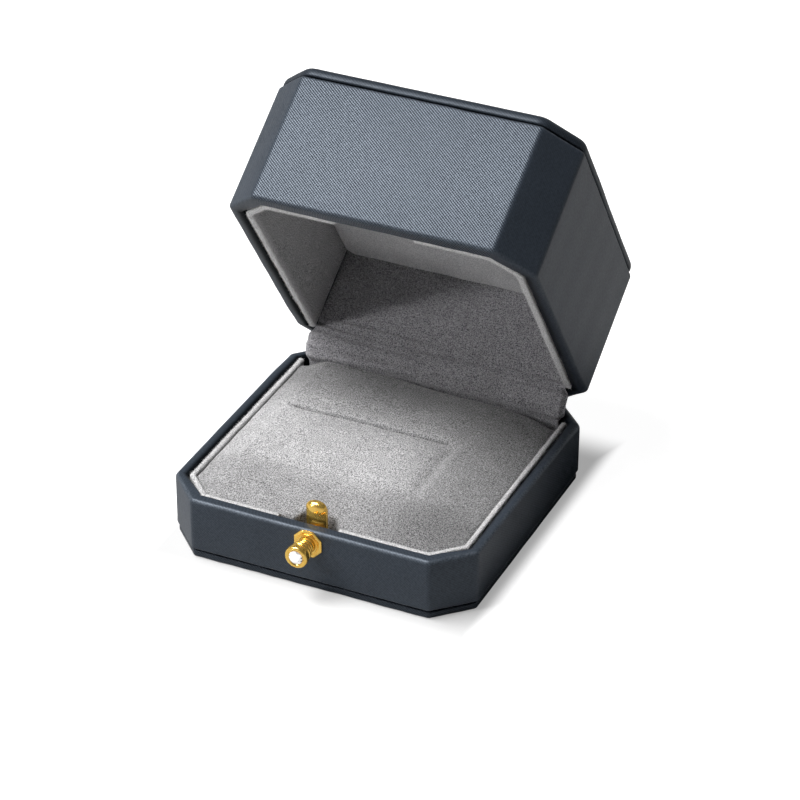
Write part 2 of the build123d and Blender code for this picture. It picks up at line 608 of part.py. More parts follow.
with BuildPart() as keeper_rivets:
    for x in KEEPER_RIVETS:
        rod(LID, x, KEEPER_RIVET_Z, (-KEEPER_Y, -KEEPER_Y - KEEPER_T - KEEPER_GRIP), RIVET_R)
        rod(LID, x, KEEPER_RIVET_Z, (-KEEPER_Y + RIVET_HEAD, -KEEPER_Y), RIVET_HEAD_R)
keeper_rivets.part.label = "keeper_rivets"
export_step(keeper_rivets.part, "parts/keeper_rivets.step")
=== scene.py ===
import logging
import math
from dataclasses import dataclass
from enum import Enum
from typing import Any, Optional, Sequence

import bmesh
import bpy
import numpy as np
from mathutils import Matrix, Vector


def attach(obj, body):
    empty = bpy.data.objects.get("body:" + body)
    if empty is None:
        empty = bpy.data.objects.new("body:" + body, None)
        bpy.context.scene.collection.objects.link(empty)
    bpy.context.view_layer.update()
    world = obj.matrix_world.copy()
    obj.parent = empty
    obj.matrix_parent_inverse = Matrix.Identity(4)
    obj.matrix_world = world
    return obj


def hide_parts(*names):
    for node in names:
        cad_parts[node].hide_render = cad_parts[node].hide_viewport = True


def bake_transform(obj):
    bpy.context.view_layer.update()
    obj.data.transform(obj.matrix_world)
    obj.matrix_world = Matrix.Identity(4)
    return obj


# Octagonal push-button ring box, shown open: twill-grained leatherette outside, velvet inside,
# gilt catch with a clear stone. Sizes are in millimetres until a mesh is written, in metres.
# The lid's pieces are drawn as if the box were shut and then turned open about the hinge.

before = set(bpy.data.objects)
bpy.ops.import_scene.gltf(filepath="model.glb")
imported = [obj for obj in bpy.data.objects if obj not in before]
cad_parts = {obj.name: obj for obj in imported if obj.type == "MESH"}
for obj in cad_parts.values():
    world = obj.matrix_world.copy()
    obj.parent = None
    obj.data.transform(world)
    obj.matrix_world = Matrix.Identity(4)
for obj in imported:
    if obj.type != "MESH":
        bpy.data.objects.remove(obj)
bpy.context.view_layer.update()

MM = 0.001
log = logging.getLogger("ring_box")


# ---------------------------------------------------------------- plan and mesh tools

@dataclass(frozen=True)
class BoxPlan:
    """Octagonal plan of the box and the place of its hinge."""

    width: float = 65.0
    corner_leg: float = 7.2
    corner_soft: float = 1.5
    hinge_y: float = 31.4
    hinge_z: float = 13.35
    open_degrees: float = 55.7
    long_steps: int = 56
    short_steps: int = 8
    corner_steps: int = 6

    def leg(self, inset: float) -> float:
        """Corner cut of the plan moved inwards by inset."""
        return self.corner_leg - inset * (2 - math.sqrt(2))

    def loop(self, inset: float, soft: Optional[float] = None) -> np.ndarray:
        """Closed outline that starts at the back of the right side and runs by the front.

        Args:
            inset: distance inwards from the outside.
            soft: corner radius; by default what is left of the outer one.
        Returns:
            Array of (x, y), the same number of points for every inset.
        """
        half, leg = self.width / 2 - inset, self.leg(inset)
        inner = half - leg
        corners = [(half, inner), (half, -inner), (inner, -half), (-inner, -half),
                   (-half, -inner), (-half, inner), (-inner, half), (inner, half)]
        corners = [np.array(c) for c in corners]
        radius = max(self.corner_soft - inset, 0.4) if soft is None else soft
        cut = radius * math.tan(math.radians(22.5))
        points = []
        for k in range(8):
            here, after, then = corners[k], corners[(k + 1) % 8], corners[(k + 2) % 8]
            way = (after - here) / np.linalg.norm(after - here)
            turn = (then - after) / np.linalg.norm(then - after)
            start, end = here + way * cut, after - way * cut
            steps = self.long_steps if k % 2 == 0 else self.short_steps
            points += [start + (end - start) * i / steps for i in range(steps + 1)]
            centre = end + np.array([way[1], -way[0]]) * radius
            if np.dot(turn, centre - end) < 0:
                centre = end - np.array([way[1], -way[0]]) * radius
            first, last = end - centre, after + turn * cut - centre
            for i in range(1, self.corner_steps):
                t = math.radians(45) * i / self.corner_steps
                points.append(centre + (math.sin(math.radians(45) - t) * first
                                        + math.sin(t) * last) / math.sin(math.radians(45)))
        return np.array(points)

    def panels(self, front: float, others: float) -> np.ndarray:
        """How plainly the twill shows at each station: on the front panel, and elsewhere."""
        x, y = self.loop(0.0).T
        edge = self.width / 2 - self.corner_leg
        facing = smooth((-y - self.width / 2 + 0.5) / 0.4) * smooth((edge - np.abs(x) + 0.3) / 0.4)
        return others + (front - others) * facing

    def lined_run(self) -> slice:
        """Stations of a loop that the side linings cover: right side, front and left side."""
        side = self.long_steps + self.corner_steps
        edge = self.short_steps + self.corner_steps
        return slice(0, 3 * side + 2 * edge - self.corner_steps + 1)

    def opened(self, points: np.ndarray) -> np.ndarray:
        """Turns points drawn with the box shut to where they are with the lid open."""
        turn = math.radians(self.open_degrees)
        cos, sin = math.cos(turn), math.sin(turn)
        shut = np.asarray(points, float)
        out = shut.copy()
        dy, dz = shut[..., 1] - self.hinge_y, shut[..., 2] - self.hinge_z
        out[..., 1] = self.hinge_y + cos * dy + sin * dz
        out[..., 2] = self.hinge_z - sin * dy + cos * dz
        return out


PLAN = BoxPlan()


def smooth(t: np.ndarray) -> np.ndarray:
    """Smoothstep of values clipped to 0..1."""
    t = np.clip(t, 0.0, 1.0)
    return t * t * (3 - 2 * t)


def ripple(points: np.ndarray, size: float, depth: float, seed: int = 1) -> np.ndarray:
    """Gentle unevenness of a hand-covered surface.

    Args:
        points: places, in mm.
        size: typical width of a swell, in mm.
        depth: greatest shift, in mm.
        seed: picks the pattern.
    Returns:
        Shift of each point.
    """
    draw = np.random.RandomState(seed)
    shift = np.zeros(points.shape)
    for _ in range(7):
        wave = draw.normal(size=3)
        wave *= 2 * math.pi / (size * draw.uniform(0.6, 1.8) * np.linalg.norm(wave))
        shift += draw.normal(size=3) * np.sin(points @ wave + draw.uniform(0, 6.28))[..., None]
    return shift * depth / 4.5


@dataclass(frozen=True)
class Corner:
    """Corner of a cross-section: inset, height, roundness, and edge lightening, partly scuff and partly
    painted highlight.
    """

    inset: float
    height: float
    radius: float = 0.05
    pale_edge_and_highlight: float = 0.0


def section(corners: Sequence[Corner], steps: int = 5, gap: float = 2.5) -> tuple[np.ndarray, np.ndarray]:
    """Closed cross-section with rounded corners.

    Args:
        corners: the corners in order.
        steps: pieces per rounded corner.
        gap: longest straight piece, in mm.
    Returns:
        (inset, height) points and the lightening at each: partly scuff, partly painted highlight.
    """
    arcs, marks = [], []
    count = len(corners)
    at = [np.array([c.inset, c.height]) for c in corners]
    for k, corner in enumerate(corners):
        back = at[k - 1] - at[k]
        ahead = at[(k + 1) % count] - at[k]
        back, ahead = back / np.linalg.norm(back), ahead / np.linalg.norm(ahead)
        half = math.acos(max(-1.0, min(1.0, float(back @ ahead)))) / 2
        cut = corner.radius / math.tan(half)
        middle = at[k] + (back + ahead) / np.linalg.norm(back + ahead) * corner.radius / math.sin(half)
        first, last = at[k] + back * cut - middle, at[k] + ahead * cut - middle
        sweep = math.pi - 2 * half
        arc = []
        for i in range(steps + 1):
            t = i / steps
            arc.append(middle + (math.sin((1 - t) * sweep) * first
                                 + math.sin(t * sweep) * last) / math.sin(sweep))
        arcs.append(arc)
        marks.append([corner.pale_edge_and_highlight * math.sin(math.pi * i / steps) for i in range(steps + 1)])
    points, pale_edge_and_highlight = [], []
    for k in range(count):
        points += arcs[k]
        pale_edge_and_highlight += marks[k]
        start, end = arcs[k][-1], arcs[(k + 1) % count][0]
        extra = int(np.linalg.norm(at[(k + 1) % count] - at[k]) // gap)
        points += [start + (end - start) * (i + 1) / (extra + 1) for i in range(extra)]
        pale_edge_and_highlight += [0.0] * extra
    return np.array(points), np.array(pale_edge_and_highlight)


def rounded(inside: np.ndarray, radius: float) -> np.ndarray:
    """Drop of a rounded edge: 1 at the edge, 0 from a radius inside it."""
    return 1 - np.sqrt(np.clip(1 - (1 - np.clip(inside / radius, 0, 1)) ** 2, 0, 1))


def band_faces(steps: int, columns: int) -> list[tuple[int, ...]]:
    """Faces of a closed band whose rows hold the front's columns and then the rear's, run back.

    Args:
        steps: number of rows.
        columns: points across the front, and across the rear.
    Returns:
        Point numbers of each face, with both ends closed.
    """
    long = 2 * columns
    faces = [(r * long + c, r * long + (c + 1) % long, (r + 1) * long + (c + 1) % long, (r + 1) * long + c)
             for r in range(steps - 1) for c in range(long)]
    for r in (0, steps - 1):
        faces += [(r * long + c, r * long + c + 1, r * long + long - 2 - c, r * long + long - 1 - c)
                  for c in range(columns - 1)]
    return faces


def mark(mesh: bpy.types.Mesh, name: str, values: np.ndarray) -> None:
    """Stores a value for each point of the mesh, for its material."""
    layer = mesh.attributes.new(name, "FLOAT", "POINT")
    layer.data.foreach_set("value", np.asarray(values, np.float32).ravel())


def report(piece: bpy.types.Object) -> None:
    """Logs a finished piece."""
    log.info("%s: %d faces", piece.name, len(piece.data.polygons))


def sharpen(mesh: bpy.types.Mesh, degrees: float) -> None:
    """Shades the mesh smooth, apart from edges sharper than the angle."""
    work = bmesh.new()
    work.from_mesh(mesh)
    limit = math.radians(degrees)
    for face in work.faces:
        face.smooth = True
    for edge in work.edges:
        edge.smooth = len(edge.link_faces) != 2 or edge.calc_face_angle(0.0) < limit
    work.to_mesh(mesh)
    work.free()


def solid(name: str, points: np.ndarray, faces: Sequence[Sequence[int]],
          grain: Optional[Sequence[Sequence[tuple[float, float]]]] = None,
          pale_edge_and_highlight: Optional[np.ndarray] = None, degrees: float = 35.0) -> bpy.types.Object:
    """Makes a closed piece from points in mm.

    Args:
        name: the piece's name.
        points: (n, 3) places in mm.
        faces: point numbers of each face.
        grain: for each face, (u, v) in mm of each of its corners.
        pale_edge_and_highlight: lightening of each point, 0 to 1, partly real and partly painted highlight.
        degrees: edges sharper than this stay crisp.
    Returns:
        The object, at the origin.
    """
    mesh = bpy.data.meshes.new(name)
    mesh.from_pydata((np.asarray(points) * MM).tolist(), [], [list(f) for f in faces])
    if grain is not None:
        layer = mesh.uv_layers.new(name="Grain")
        flat = np.array([uv for face in grain for uv in face], float)
        layer.data.foreach_set("uv", flat.ravel())
    if pale_edge_and_highlight is not None:
        mark(mesh, "pale_edge_and_highlight", pale_edge_and_highlight)
    work = bmesh.new()
    work.from_mesh(mesh)
    bmesh.ops.recalc_face_normals(work, faces=work.faces)
    work.to_mesh(mesh)
    work.free()
    sharpen(mesh, degrees)
    piece = bpy.data.objects.new(name, mesh)
    bpy.context.scene.collection.objects.link(piece)
    return piece


def lofted(name: str, rows: np.ndarray, ring: bool = True, tube: bool = True,
           pale_edge_and_highlight: Optional[np.ndarray] = None, degrees: float = 35.0,
           cap_rows: bool = False, downward: bool = False) -> bpy.types.Object:
    """Skin over rows of points.

    Args:
        name: the piece's name.
        rows: (profile points, stations, 3) in mm.
        ring: the stations close on themselves.
        tube: the profile closes on itself.
        pale_edge_and_highlight: (profile points, stations) lightening of the edges, partly real and partly
            painted highlight.
        degrees: edges sharper than this stay crisp.
        cap_rows: closes the first and last row with one face each.
        downward: the rows run down the wall, so the grain is mirrored to match.
    Returns:
        The piece.
    """
    high, long, _ = rows.shape
    wide = rows[int(np.argmax([np.linalg.norm(np.diff(r, axis=0), axis=1).sum() for r in rows]))]
    along = np.concatenate([[0], np.cumsum(np.linalg.norm(np.diff(wide, axis=0), axis=1))])
    along = np.append(along, along[-1] + np.linalg.norm(wide[0] - wide[-1]))
    rise = np.median(np.linalg.norm(np.diff(rows, axis=0), axis=2), axis=1)
    up = np.concatenate([[0], np.cumsum(rise)])
    up = np.append(up, up[-1] + np.median(np.linalg.norm(rows[0] - rows[-1], axis=1)))
    up = -up if downward else up
    faces, grain = [], []
    for j in range(high if tube else high - 1):
        k = (j + 1) % high
        for i in range(long if ring else long - 1):
            n = (i + 1) % long
            faces.append((j * long + i, j * long + n, k * long + n, k * long + i))
            grain.append(((along[i], up[j]), (along[i + 1], up[j]),
                          (along[i + 1], up[j + 1]), (along[i], up[j + 1])))
    if tube and not ring:
        for i in (0, long - 1):
            faces.append([j * long + i for j in range(high)])
            grain.append([(rows[j, i, 0], rows[j, i, 2]) for j in range(high)])
    if cap_rows:
        for j in (0, high - 1):
            faces.append([j * long + i for i in range(long)])
            grain.append([(rows[j, i, 0], rows[j, i, 1]) for i in range(long)])
    return solid(name, rows.reshape(-1, 3), faces, grain,
                 None if pale_edge_and_highlight is None else pale_edge_and_highlight.reshape(-1), degrees)


def cut_away(piece: bpy.types.Object, tool: bpy.types.Object, degrees: float = 35.0) -> None:
    """Cuts the tool out of the piece and deletes the tool."""
    cut = piece.modifiers.new("cut", "BOOLEAN")
    cut.operation, cut.solver, cut.object = "DIFFERENCE", "EXACT", tool
    view = bpy.context.evaluated_depsgraph_get()
    mesh = bpy.data.meshes.new_from_object(piece.evaluated_get(view), depsgraph=view)
    piece.modifiers.remove(cut)
    piece.data = mesh
    mesh.name = piece.name
    bpy.data.objects.remove(tool)
    sharpen(mesh, degrees)


def slab(low: Sequence[float], high: Sequence[float], opened: bool = False) -> bpy.types.Object:
    """Square-cornered tool between two corners, in mm; opened turns it with the lid."""
    points = np.array([[(low, high)[i][0], (low, high)[j][1], (low, high)[k][2]]
                       for i in (0, 1) for j in (0, 1) for k in (0, 1)])
    faces = [(0, 1, 3, 2), (4, 6, 7, 5), (0, 4, 5, 1), (2, 3, 7, 6), (0, 2, 6, 4), (1, 5, 7, 3)]
    return solid("tool", PLAN.opened(points) if opened else points, faces)


def turned(name: str, outline: Sequence[tuple[float, float]], height: float,
           sides: int = 96, degrees: float = 30.0) -> bpy.types.Object:
    """Turned piece whose axis runs front to back.

    Args:
        name: the piece's name.
        outline: closed half outline as (radius, y).
        height: z of the axis.
        sides: number of stations round the axis.
        degrees: edges sharper than this stay crisp.
    Returns:
        The piece.
    """
    angle = np.linspace(0, 2 * math.pi, sides, endpoint=False)
    rows = np.array([np.stack([r * np.cos(angle), np.full(sides, y), height + r * np.sin(angle)], axis=1)
                     for r, y in outline])
    piece = lofted(name, rows, degrees=degrees)
    work = bmesh.new()
    work.from_mesh(piece.data)
    bmesh.ops.remove_doubles(work, verts=work.verts, dist=1e-7)
    bmesh.ops.recalc_face_normals(work, faces=work.faces)
    work.to_mesh(piece.data)
    work.free()
    sharpen(piece.data, degrees)
    return piece


# ---------------------------------------------------------------- finishes

def linear(colour: str) -> tuple[float, float, float, float]:
    """Linear RGBA of an sRGB hex colour."""
    parts = [int(colour[i:i + 2], 16) / 255 for i in (1, 3, 5)]
    parts = [p / 12.92 if p <= 0.04045 else ((p + 0.055) / 1.055) ** 2.4 for p in parts]
    return (*parts, 1.0)


def add_node(tree: bpy.types.NodeTree, kind: str, inputs: Optional[dict[Any, Any]] = None,
             **settings: Any) -> bpy.types.Node:
    """Adds a node.

    Args:
        tree: the node tree.
        kind: the node's type.
        inputs: value or source socket for each input, by name or number.
        **settings: the node's own settings.
    Returns:
        The node.
    """
    node = tree.nodes.new(kind)
    for key, value in settings.items():
        setattr(node, key, value)
    for key, value in (inputs or {}).items():
        if isinstance(value, bpy.types.NodeSocket):
            tree.links.new(value, node.inputs[key])
        else:
            node.inputs[key].default_value = value
    return node


def new_material(name: str) -> tuple[bpy.types.Material, bpy.types.NodeTree]:
    """Empty node material and its tree."""
    material = bpy.data.materials.new(name)
    material.use_nodes = True
    material.node_tree.nodes.clear()
    return material, material.node_tree


def surface(tree: bpy.types.NodeTree, inputs: dict[str, Any]) -> None:
    """Ends a material's tree in a Principled shader."""
    shader = add_node(tree, "ShaderNodeBsdfPrincipled", inputs)
    add_node(tree, "ShaderNodeOutputMaterial", {"Surface": shader.outputs[0]})


MIX_FACTOR, MIX_A, MIX_B, MIX_OUT = 0, 6, 7, 2


@dataclass(frozen=True)
class TwillLeatherette:
    """PU leatherette embossed with a fine twill, folded over the walls.

    The embossing catches the light as bright and dark diagonal threads and the coating has a low
    satin gloss. The folds at the rims are lighter, partly scuffed and partly a painted highlight. A
    stored attribute darkens the colour and dulls the gloss as painted shade: in the fold turned in at
    the sides, and over the foot and the top board.
    The specular level follows the weave, which the export drops, as it drops any linked one.
    """

    name: str
    ground: str
    thread: str
    # colour of the lighter folds: partly scuffed leather, partly painted highlight
    pale_and_highlit: str
    pitch: float = 0.44        # between threads, as on the photographed lid
    lean: float = 53.2         # of the threads' normal from the rim's line, in degrees
    relief: float = 0.016      # depth of the embossing
    roughness: float = 0.42
    specular: float = 0.50
    gloss_tint: str = "#DDE9F8"  # the coating's gloss is faintly blue

    def make(self) -> bpy.types.Material:
        """Builds the material."""
        material, tree = new_material(self.name)
        place = add_node(tree, "ShaderNodeUVMap", uv_map="Grain").outputs[0]
        lean = math.radians(self.lean)
        across, along = (2 * math.pi / self.pitch * f(lean) for f in (math.cos, math.sin))
        row = add_node(tree, "ShaderNodeVectorMath", {0: place, 1: (-across, along, 0)},
                       operation="DOT_PRODUCT")
        thread = add_node(tree, "ShaderNodeMath", {0: row.outputs["Value"]}, operation="SINE")
        run = add_node(tree, "ShaderNodeVectorMath", {0: place, 1: (along, across, 0)},
                       operation="DOT_PRODUCT")
        knot = add_node(tree, "ShaderNodeMath", {0: run.outputs["Value"]}, operation="SINE")
        beads = add_node(tree, "ShaderNodeMath", {0: knot.outputs[0], 1: 0.35, 2: thread.outputs[0]},
                         operation="MULTIPLY_ADD")
        spot = add_node(tree, "ShaderNodeTexCoord").outputs["Object"]
        fine = add_node(tree, "ShaderNodeTexNoise",
                        {"Vector": spot, "Scale": 1 / (0.45 * MM), "Detail": 2.0})
        weave = add_node(tree, "ShaderNodeAttribute", attribute_name="weave", attribute_type="GEOMETRY")
        pressed = add_node(tree, "ShaderNodeMath", {0: beads.outputs[0], 1: weave.outputs["Fac"]},
                           operation="MULTIPLY")
        relief = add_node(tree, "ShaderNodeMath", {0: fine.outputs[0], 1: 1.2, 2: pressed.outputs[0]},
                          operation="MULTIPLY_ADD")
        level = add_node(tree, "ShaderNodeMapRange",
                         {"Value": relief.outputs[0], "From Min": -0.75, "From Max": 1.95})
        cloud = add_node(tree, "ShaderNodeTexNoise", {"Vector": spot, "Scale": 1 / (9 * MM), "Detail": 3.0})
        tone = add_node(tree, "ShaderNodeMix", {MIX_FACTOR: level.outputs[0], MIX_A: linear(self.ground),
                                                MIX_B: linear(self.thread)}, data_type="RGBA")
        shade = add_node(tree, "ShaderNodeMapRange",
                         {"Value": cloud.outputs[0], "From Min": 0.3, "From Max": 0.7,
                                                      "To Min": 0.92, "To Max": 1.08})
        uneven = add_node(tree, "ShaderNodeVectorMath",
                          {0: tone.outputs[MIX_OUT], "Scale": shade.outputs[0]},
                          operation="SCALE")
        # lighter folds: partly scuff, partly painted highlight where the folds catch the light
        pale_edge_and_highlight = add_node(tree, "ShaderNodeAttribute", attribute_name="pale_edge_and_highlight", attribute_type="GEOMETRY")
        rub = add_node(tree, "ShaderNodeTexNoise", {"Vector": spot, "Scale": 1 / (0.4 * MM), "Detail": 3.0})
        patchy = add_node(tree, "ShaderNodeMapRange",
                          {"Value": rub.outputs[0], "From Min": 0.35, "From Max": 0.75})
        lit_and_pale_edges = add_node(tree, "ShaderNodeMath", {0: pale_edge_and_highlight.outputs["Fac"], 1: patchy.outputs[0]},
                        operation="MULTIPLY")
        colour = add_node(tree, "ShaderNodeMix", {MIX_FACTOR: lit_and_pale_edges.outputs[0], MIX_A: uneven.outputs[0],
                                                  MIX_B: linear(self.pale_and_highlit)}, data_type="RGBA")
        gloss = add_node(tree, "ShaderNodeMapRange",
                         {"Value": level.outputs[0], "To Min": self.roughness + 0.07,
                                                      "To Max": self.roughness - 0.05})
        bump = add_node(tree, "ShaderNodeBump", {"Strength": 1.0, "Distance": self.relief * MM,
                                                 "Height": relief.outputs[0]})
        shine = add_node(tree, "ShaderNodeMapRange",
                         {"Value": level.outputs[0], "To Min": self.specular * 0.1,
                                                      "To Max": self.specular * 1.9})
        # painted shade: darkens the colour and dulls the gloss where the stored attribute is set
        painted_shade = add_node(tree, "ShaderNodeAttribute", attribute_name="painted_shade", attribute_type="GEOMETRY")
        unshaded_share = add_node(tree, "ShaderNodeMapRange",
                         {"Value": painted_shade.outputs["Fac"], "To Min": 1.0, "To Max": 0.14})
        deep = add_node(tree, "ShaderNodeVectorMath",
                        {0: colour.outputs[MIX_OUT], "Scale": unshaded_share.outputs[0]},
                        operation="SCALE")
        glint = add_node(tree, "ShaderNodeMath", {0: shine.outputs[0], 1: unshaded_share.outputs[0]},
                         operation="MULTIPLY")
        surface(tree, {"Base Color": deep.outputs[0], "Roughness": gloss.outputs[0],
                       "Specular IOR Level": glint.outputs[0], "Specular Tint": linear(self.gloss_tint),
                       "IOR": 1.5, "Normal": bump.outputs[0]})
        return material


@dataclass(frozen=True)
class Velveteen:
    """Flocked velvet: short upright pile that scatters light in grains, paler at glancing angles.

    An edge attribute turns the pile white along a card's edge: raised fibres and painted sheen. The
    "painted" attribute takes away that share of the colour: painted shade, fitted to the photograph.
    """

    name: str
    valley: str
    tip: str
    grain: float = 0.23        # width of a tuft
    relief: float = 0.09
    sheen: float = 0.25
    # white of a card's edge: raised fibres and painted sheen
    edge: str = "#F6F5F5"      # raised fibres along a card's edge

    def make(self) -> bpy.types.Material:
        """Builds the material."""
        material, tree = new_material(self.name)
        spot = add_node(tree, "ShaderNodeTexCoord").outputs["Object"]
        pile = add_node(tree, "ShaderNodeTexNoise", {"Vector": spot, "Scale": 1 / (self.grain * MM),
                                                     "Detail": 3.0, "Roughness": 0.65})
        nap = add_node(tree, "ShaderNodeTexNoise", {"Vector": spot, "Scale": 1 / (5 * MM), "Detail": 2.0})
        level = add_node(tree, "ShaderNodeMapRange",
                         {"Value": pile.outputs[0], "From Min": 0.37, "From Max": 0.63})
        tone = add_node(tree, "ShaderNodeMix", {MIX_FACTOR: level.outputs[0], MIX_A: linear(self.valley),
                                                MIX_B: linear(self.tip)}, data_type="RGBA")
        brushed = add_node(tree, "ShaderNodeMapRange",
                           {"Value": nap.outputs[0], "From Min": 0.3, "From Max": 0.7,
                                                        "To Min": 0.94, "To Max": 1.06})
        painted = add_node(tree, "ShaderNodeAttribute", attribute_name="painted", attribute_type="GEOMETRY")
        left_over = add_node(tree, "ShaderNodeMapRange", {"Value": painted.outputs["Fac"], "To Min": 1.0,
                                                          "To Max": 0.0})
        kept = add_node(tree, "ShaderNodeMath", {0: brushed.outputs[0], 1: left_over.outputs[0]},
                        operation="MULTIPLY")
        colour = add_node(tree, "ShaderNodeVectorMath",
                          {0: tone.outputs[MIX_OUT], "Scale": kept.outputs[0]},
                          operation="SCALE")
        # card edge turned white: raised fibres and painted sheen
        pale_and_highlit = add_node(tree, "ShaderNodeAttribute", attribute_name="pale_edge_and_highlight", attribute_type="GEOMETRY")
        tuft = add_node(tree, "ShaderNodeMapRange",
                        {"Value": pile.outputs[0], "From Min": 0.25, "From Max": 0.6,
                                                     "To Min": 0.45, "To Max": 1.0})
        fibres_and_sheen = add_node(tree, "ShaderNodeMath", {0: pale_and_highlit.outputs["Fac"], 1: tuft.outputs[0]},
                        operation="MULTIPLY")
        edged = add_node(tree, "ShaderNodeMix", {MIX_FACTOR: fibres_and_sheen.outputs[0], MIX_A: colour.outputs[0],
                                                 MIX_B: linear(self.edge)}, data_type="RGBA")
        bump = add_node(tree, "ShaderNodeBump", {"Strength": 1.0, "Distance": self.relief * MM,
                                                 "Height": pile.outputs[0]})
        surface(tree, {"Base Color": edged.outputs[MIX_OUT], "Roughness": 0.95, "Specular IOR Level": 0.15,
                       "Sheen Weight": self.sheen, "Sheen Roughness": 0.45, "Normal": bump.outputs[0]})
        return material


@dataclass(frozen=True)
class GiltBrass:
    """Turned brass with bright gold plating: saturated, near mirror, faintly lined by the lathe."""

    name: str
    colour: str
    deep: str
    roughness: float = 0.20

    def make(self) -> bpy.types.Material:
        """Builds the material."""
        material, tree = new_material(self.name)
        spot = add_node(tree, "ShaderNodeTexCoord").outputs["Object"]
        haze = add_node(tree, "ShaderNodeTexNoise",
                        {"Vector": spot, "Scale": 1 / (0.9 * MM), "Detail": 3.0})
        scratch = add_node(tree, "ShaderNodeMapping", {"Vector": spot, "Scale": (300, 9000, 300)})
        lines = add_node(tree, "ShaderNodeTexNoise",
                         {"Vector": scratch.outputs[0], "Scale": 1.0, "Detail": 1.0})
        tone = add_node(tree, "ShaderNodeMix", {MIX_FACTOR: haze.outputs[0], MIX_A: linear(self.deep),
                                                MIX_B: linear(self.colour)}, data_type="RGBA")
        gloss = add_node(tree, "ShaderNodeMapRange",
                         {"Value": haze.outputs[0], "To Min": self.roughness - 0.06,
                                                      "To Max": self.roughness + 0.08})
        bump = add_node(tree, "ShaderNodeBump", {"Strength": 0.25, "Distance": 0.004 * MM,
                                                 "Height": lines.outputs[0]})
        surface(tree, {"Base Color": tone.outputs[MIX_OUT], "Metallic": 0.86, "Roughness": gloss.outputs[0],
                       "Normal": bump.outputs[0]})
        return material


@dataclass(frozen=True)
class PlainStuff:
    """Moulded, rolled or foamed stock whose fine grain is all that varies."""

    name: str
    low: str
    high: str
    grain: float
    relief: float
    roughness: float
    metallic: float = 0.0

    def make(self) -> bpy.types.Material:
        """Builds the material."""
        material, tree = new_material(self.name)
        spot = add_node(tree, "ShaderNodeTexCoord").outputs["Object"]
        grit = add_node(tree, "ShaderNodeTexNoise",
                        {"Vector": spot, "Scale": 1 / (self.grain * MM), "Detail": 3.0})
        tone = add_node(tree, "ShaderNodeMix", {MIX_FACTOR: grit.outputs[0], MIX_A: linear(self.low),
                                                MIX_B: linear(self.high)}, data_type="RGBA")
        gloss = add_node(tree, "ShaderNodeMapRange",
                         {"Value": grit.outputs[0], "To Min": self.roughness - 0.08,
                                                      "To Max": self.roughness + 0.08})
        bump = add_node(tree, "ShaderNodeBump", {"Strength": 0.6, "Distance": self.relief * MM,
                                                 "Height": grit.outputs[0]})
        surface(tree, {"Base Color": tone.outputs[MIX_OUT], "Metallic": self.metallic,
                       "Roughness": gloss.outputs[0], "Normal": bump.outputs[0]})
        return material


@dataclass(frozen=True)
class CutCrystal:
    """Facetted lead crystal on foil, with painted light: most faces get white and a painted glow, a few a
    dark colour as painted reflection.
    """

    name: str
    tint: str
    # colour of the faces painted as dark reflections
    dark: str

    def make(self) -> bpy.types.Material:
        """Builds the material."""
        material, tree = new_material(self.name)
        turn = add_node(tree, "ShaderNodeAttribute", attribute_name="facet", attribute_type="GEOMETRY")
        spot = add_node(tree, "ShaderNodeTexCoord").outputs["Object"]
        polish = add_node(tree, "ShaderNodeTexNoise", {"Vector": spot, "Scale": 1 / (0.5 * MM)})
        gloss = add_node(tree, "ShaderNodeMapRange",
                         {"Value": polish.outputs[0], "To Min": 0.02, "To Max": 0.06})
        tone = add_node(tree, "ShaderNodeMix", {MIX_FACTOR: turn.outputs["Fac"], MIX_A: linear(self.tint),
                                                MIX_B: linear(self.dark)}, data_type="RGBA")
        # painted glow on the faces that are not painted dark
        painted_glow = add_node(tree, "ShaderNodeMapRange",
                        {"Value": turn.outputs["Fac"], "To Min": 0.30, "To Max": 0.0})
        surface(tree, {"Base Color": tone.outputs[MIX_OUT], "Roughness": gloss.outputs[0], "IOR": 1.7,
                       "Transmission Weight": 0.1, "Emission Color": (1.0, 1.0, 1.0, 1.0),
                       "Emission Strength": painted_glow.outputs[0]})
        return material


class Finish(Enum):
    """Finishes of the box: the record's material slot, and which lay or face of the stuff it is; two copies
    of the velvet are painted darker and lighter, as painted shade and painted light.
    """

    LEATHER = ("leather_slate", "outside")
    SHELL = ("shell_plastic", "moulded")
    BOARD = ("board_grey", "rolled")
    VELVET = ("velvet_grey", "pile up")
    # darker copy of the velvet: painted shade
    VELVET_PAINTED_SHADE = ("velvet_grey", "painted-on shade")
    # lighter copy of the velvet: painted light
    VELVET_PAINTED_LIGHT = ("velvet_grey", "painted-on light")
    FOAM = ("foam_white", "cut")
    GILT = ("gilt_brass", "plated")
    CRYSTAL = ("crystal_clear", "cut")
    ZINC = ("steel_zinc", "plated")
    SPRING = ("steel_spring", "blued")

    def dress(self, piece: bpy.types.Object) -> None:
        """Gives the piece this finish."""
        piece.data.materials.clear()
        piece.data.materials.append(MATERIALS[self])


MATERIALS: dict[Finish, bpy.types.Material] = {}


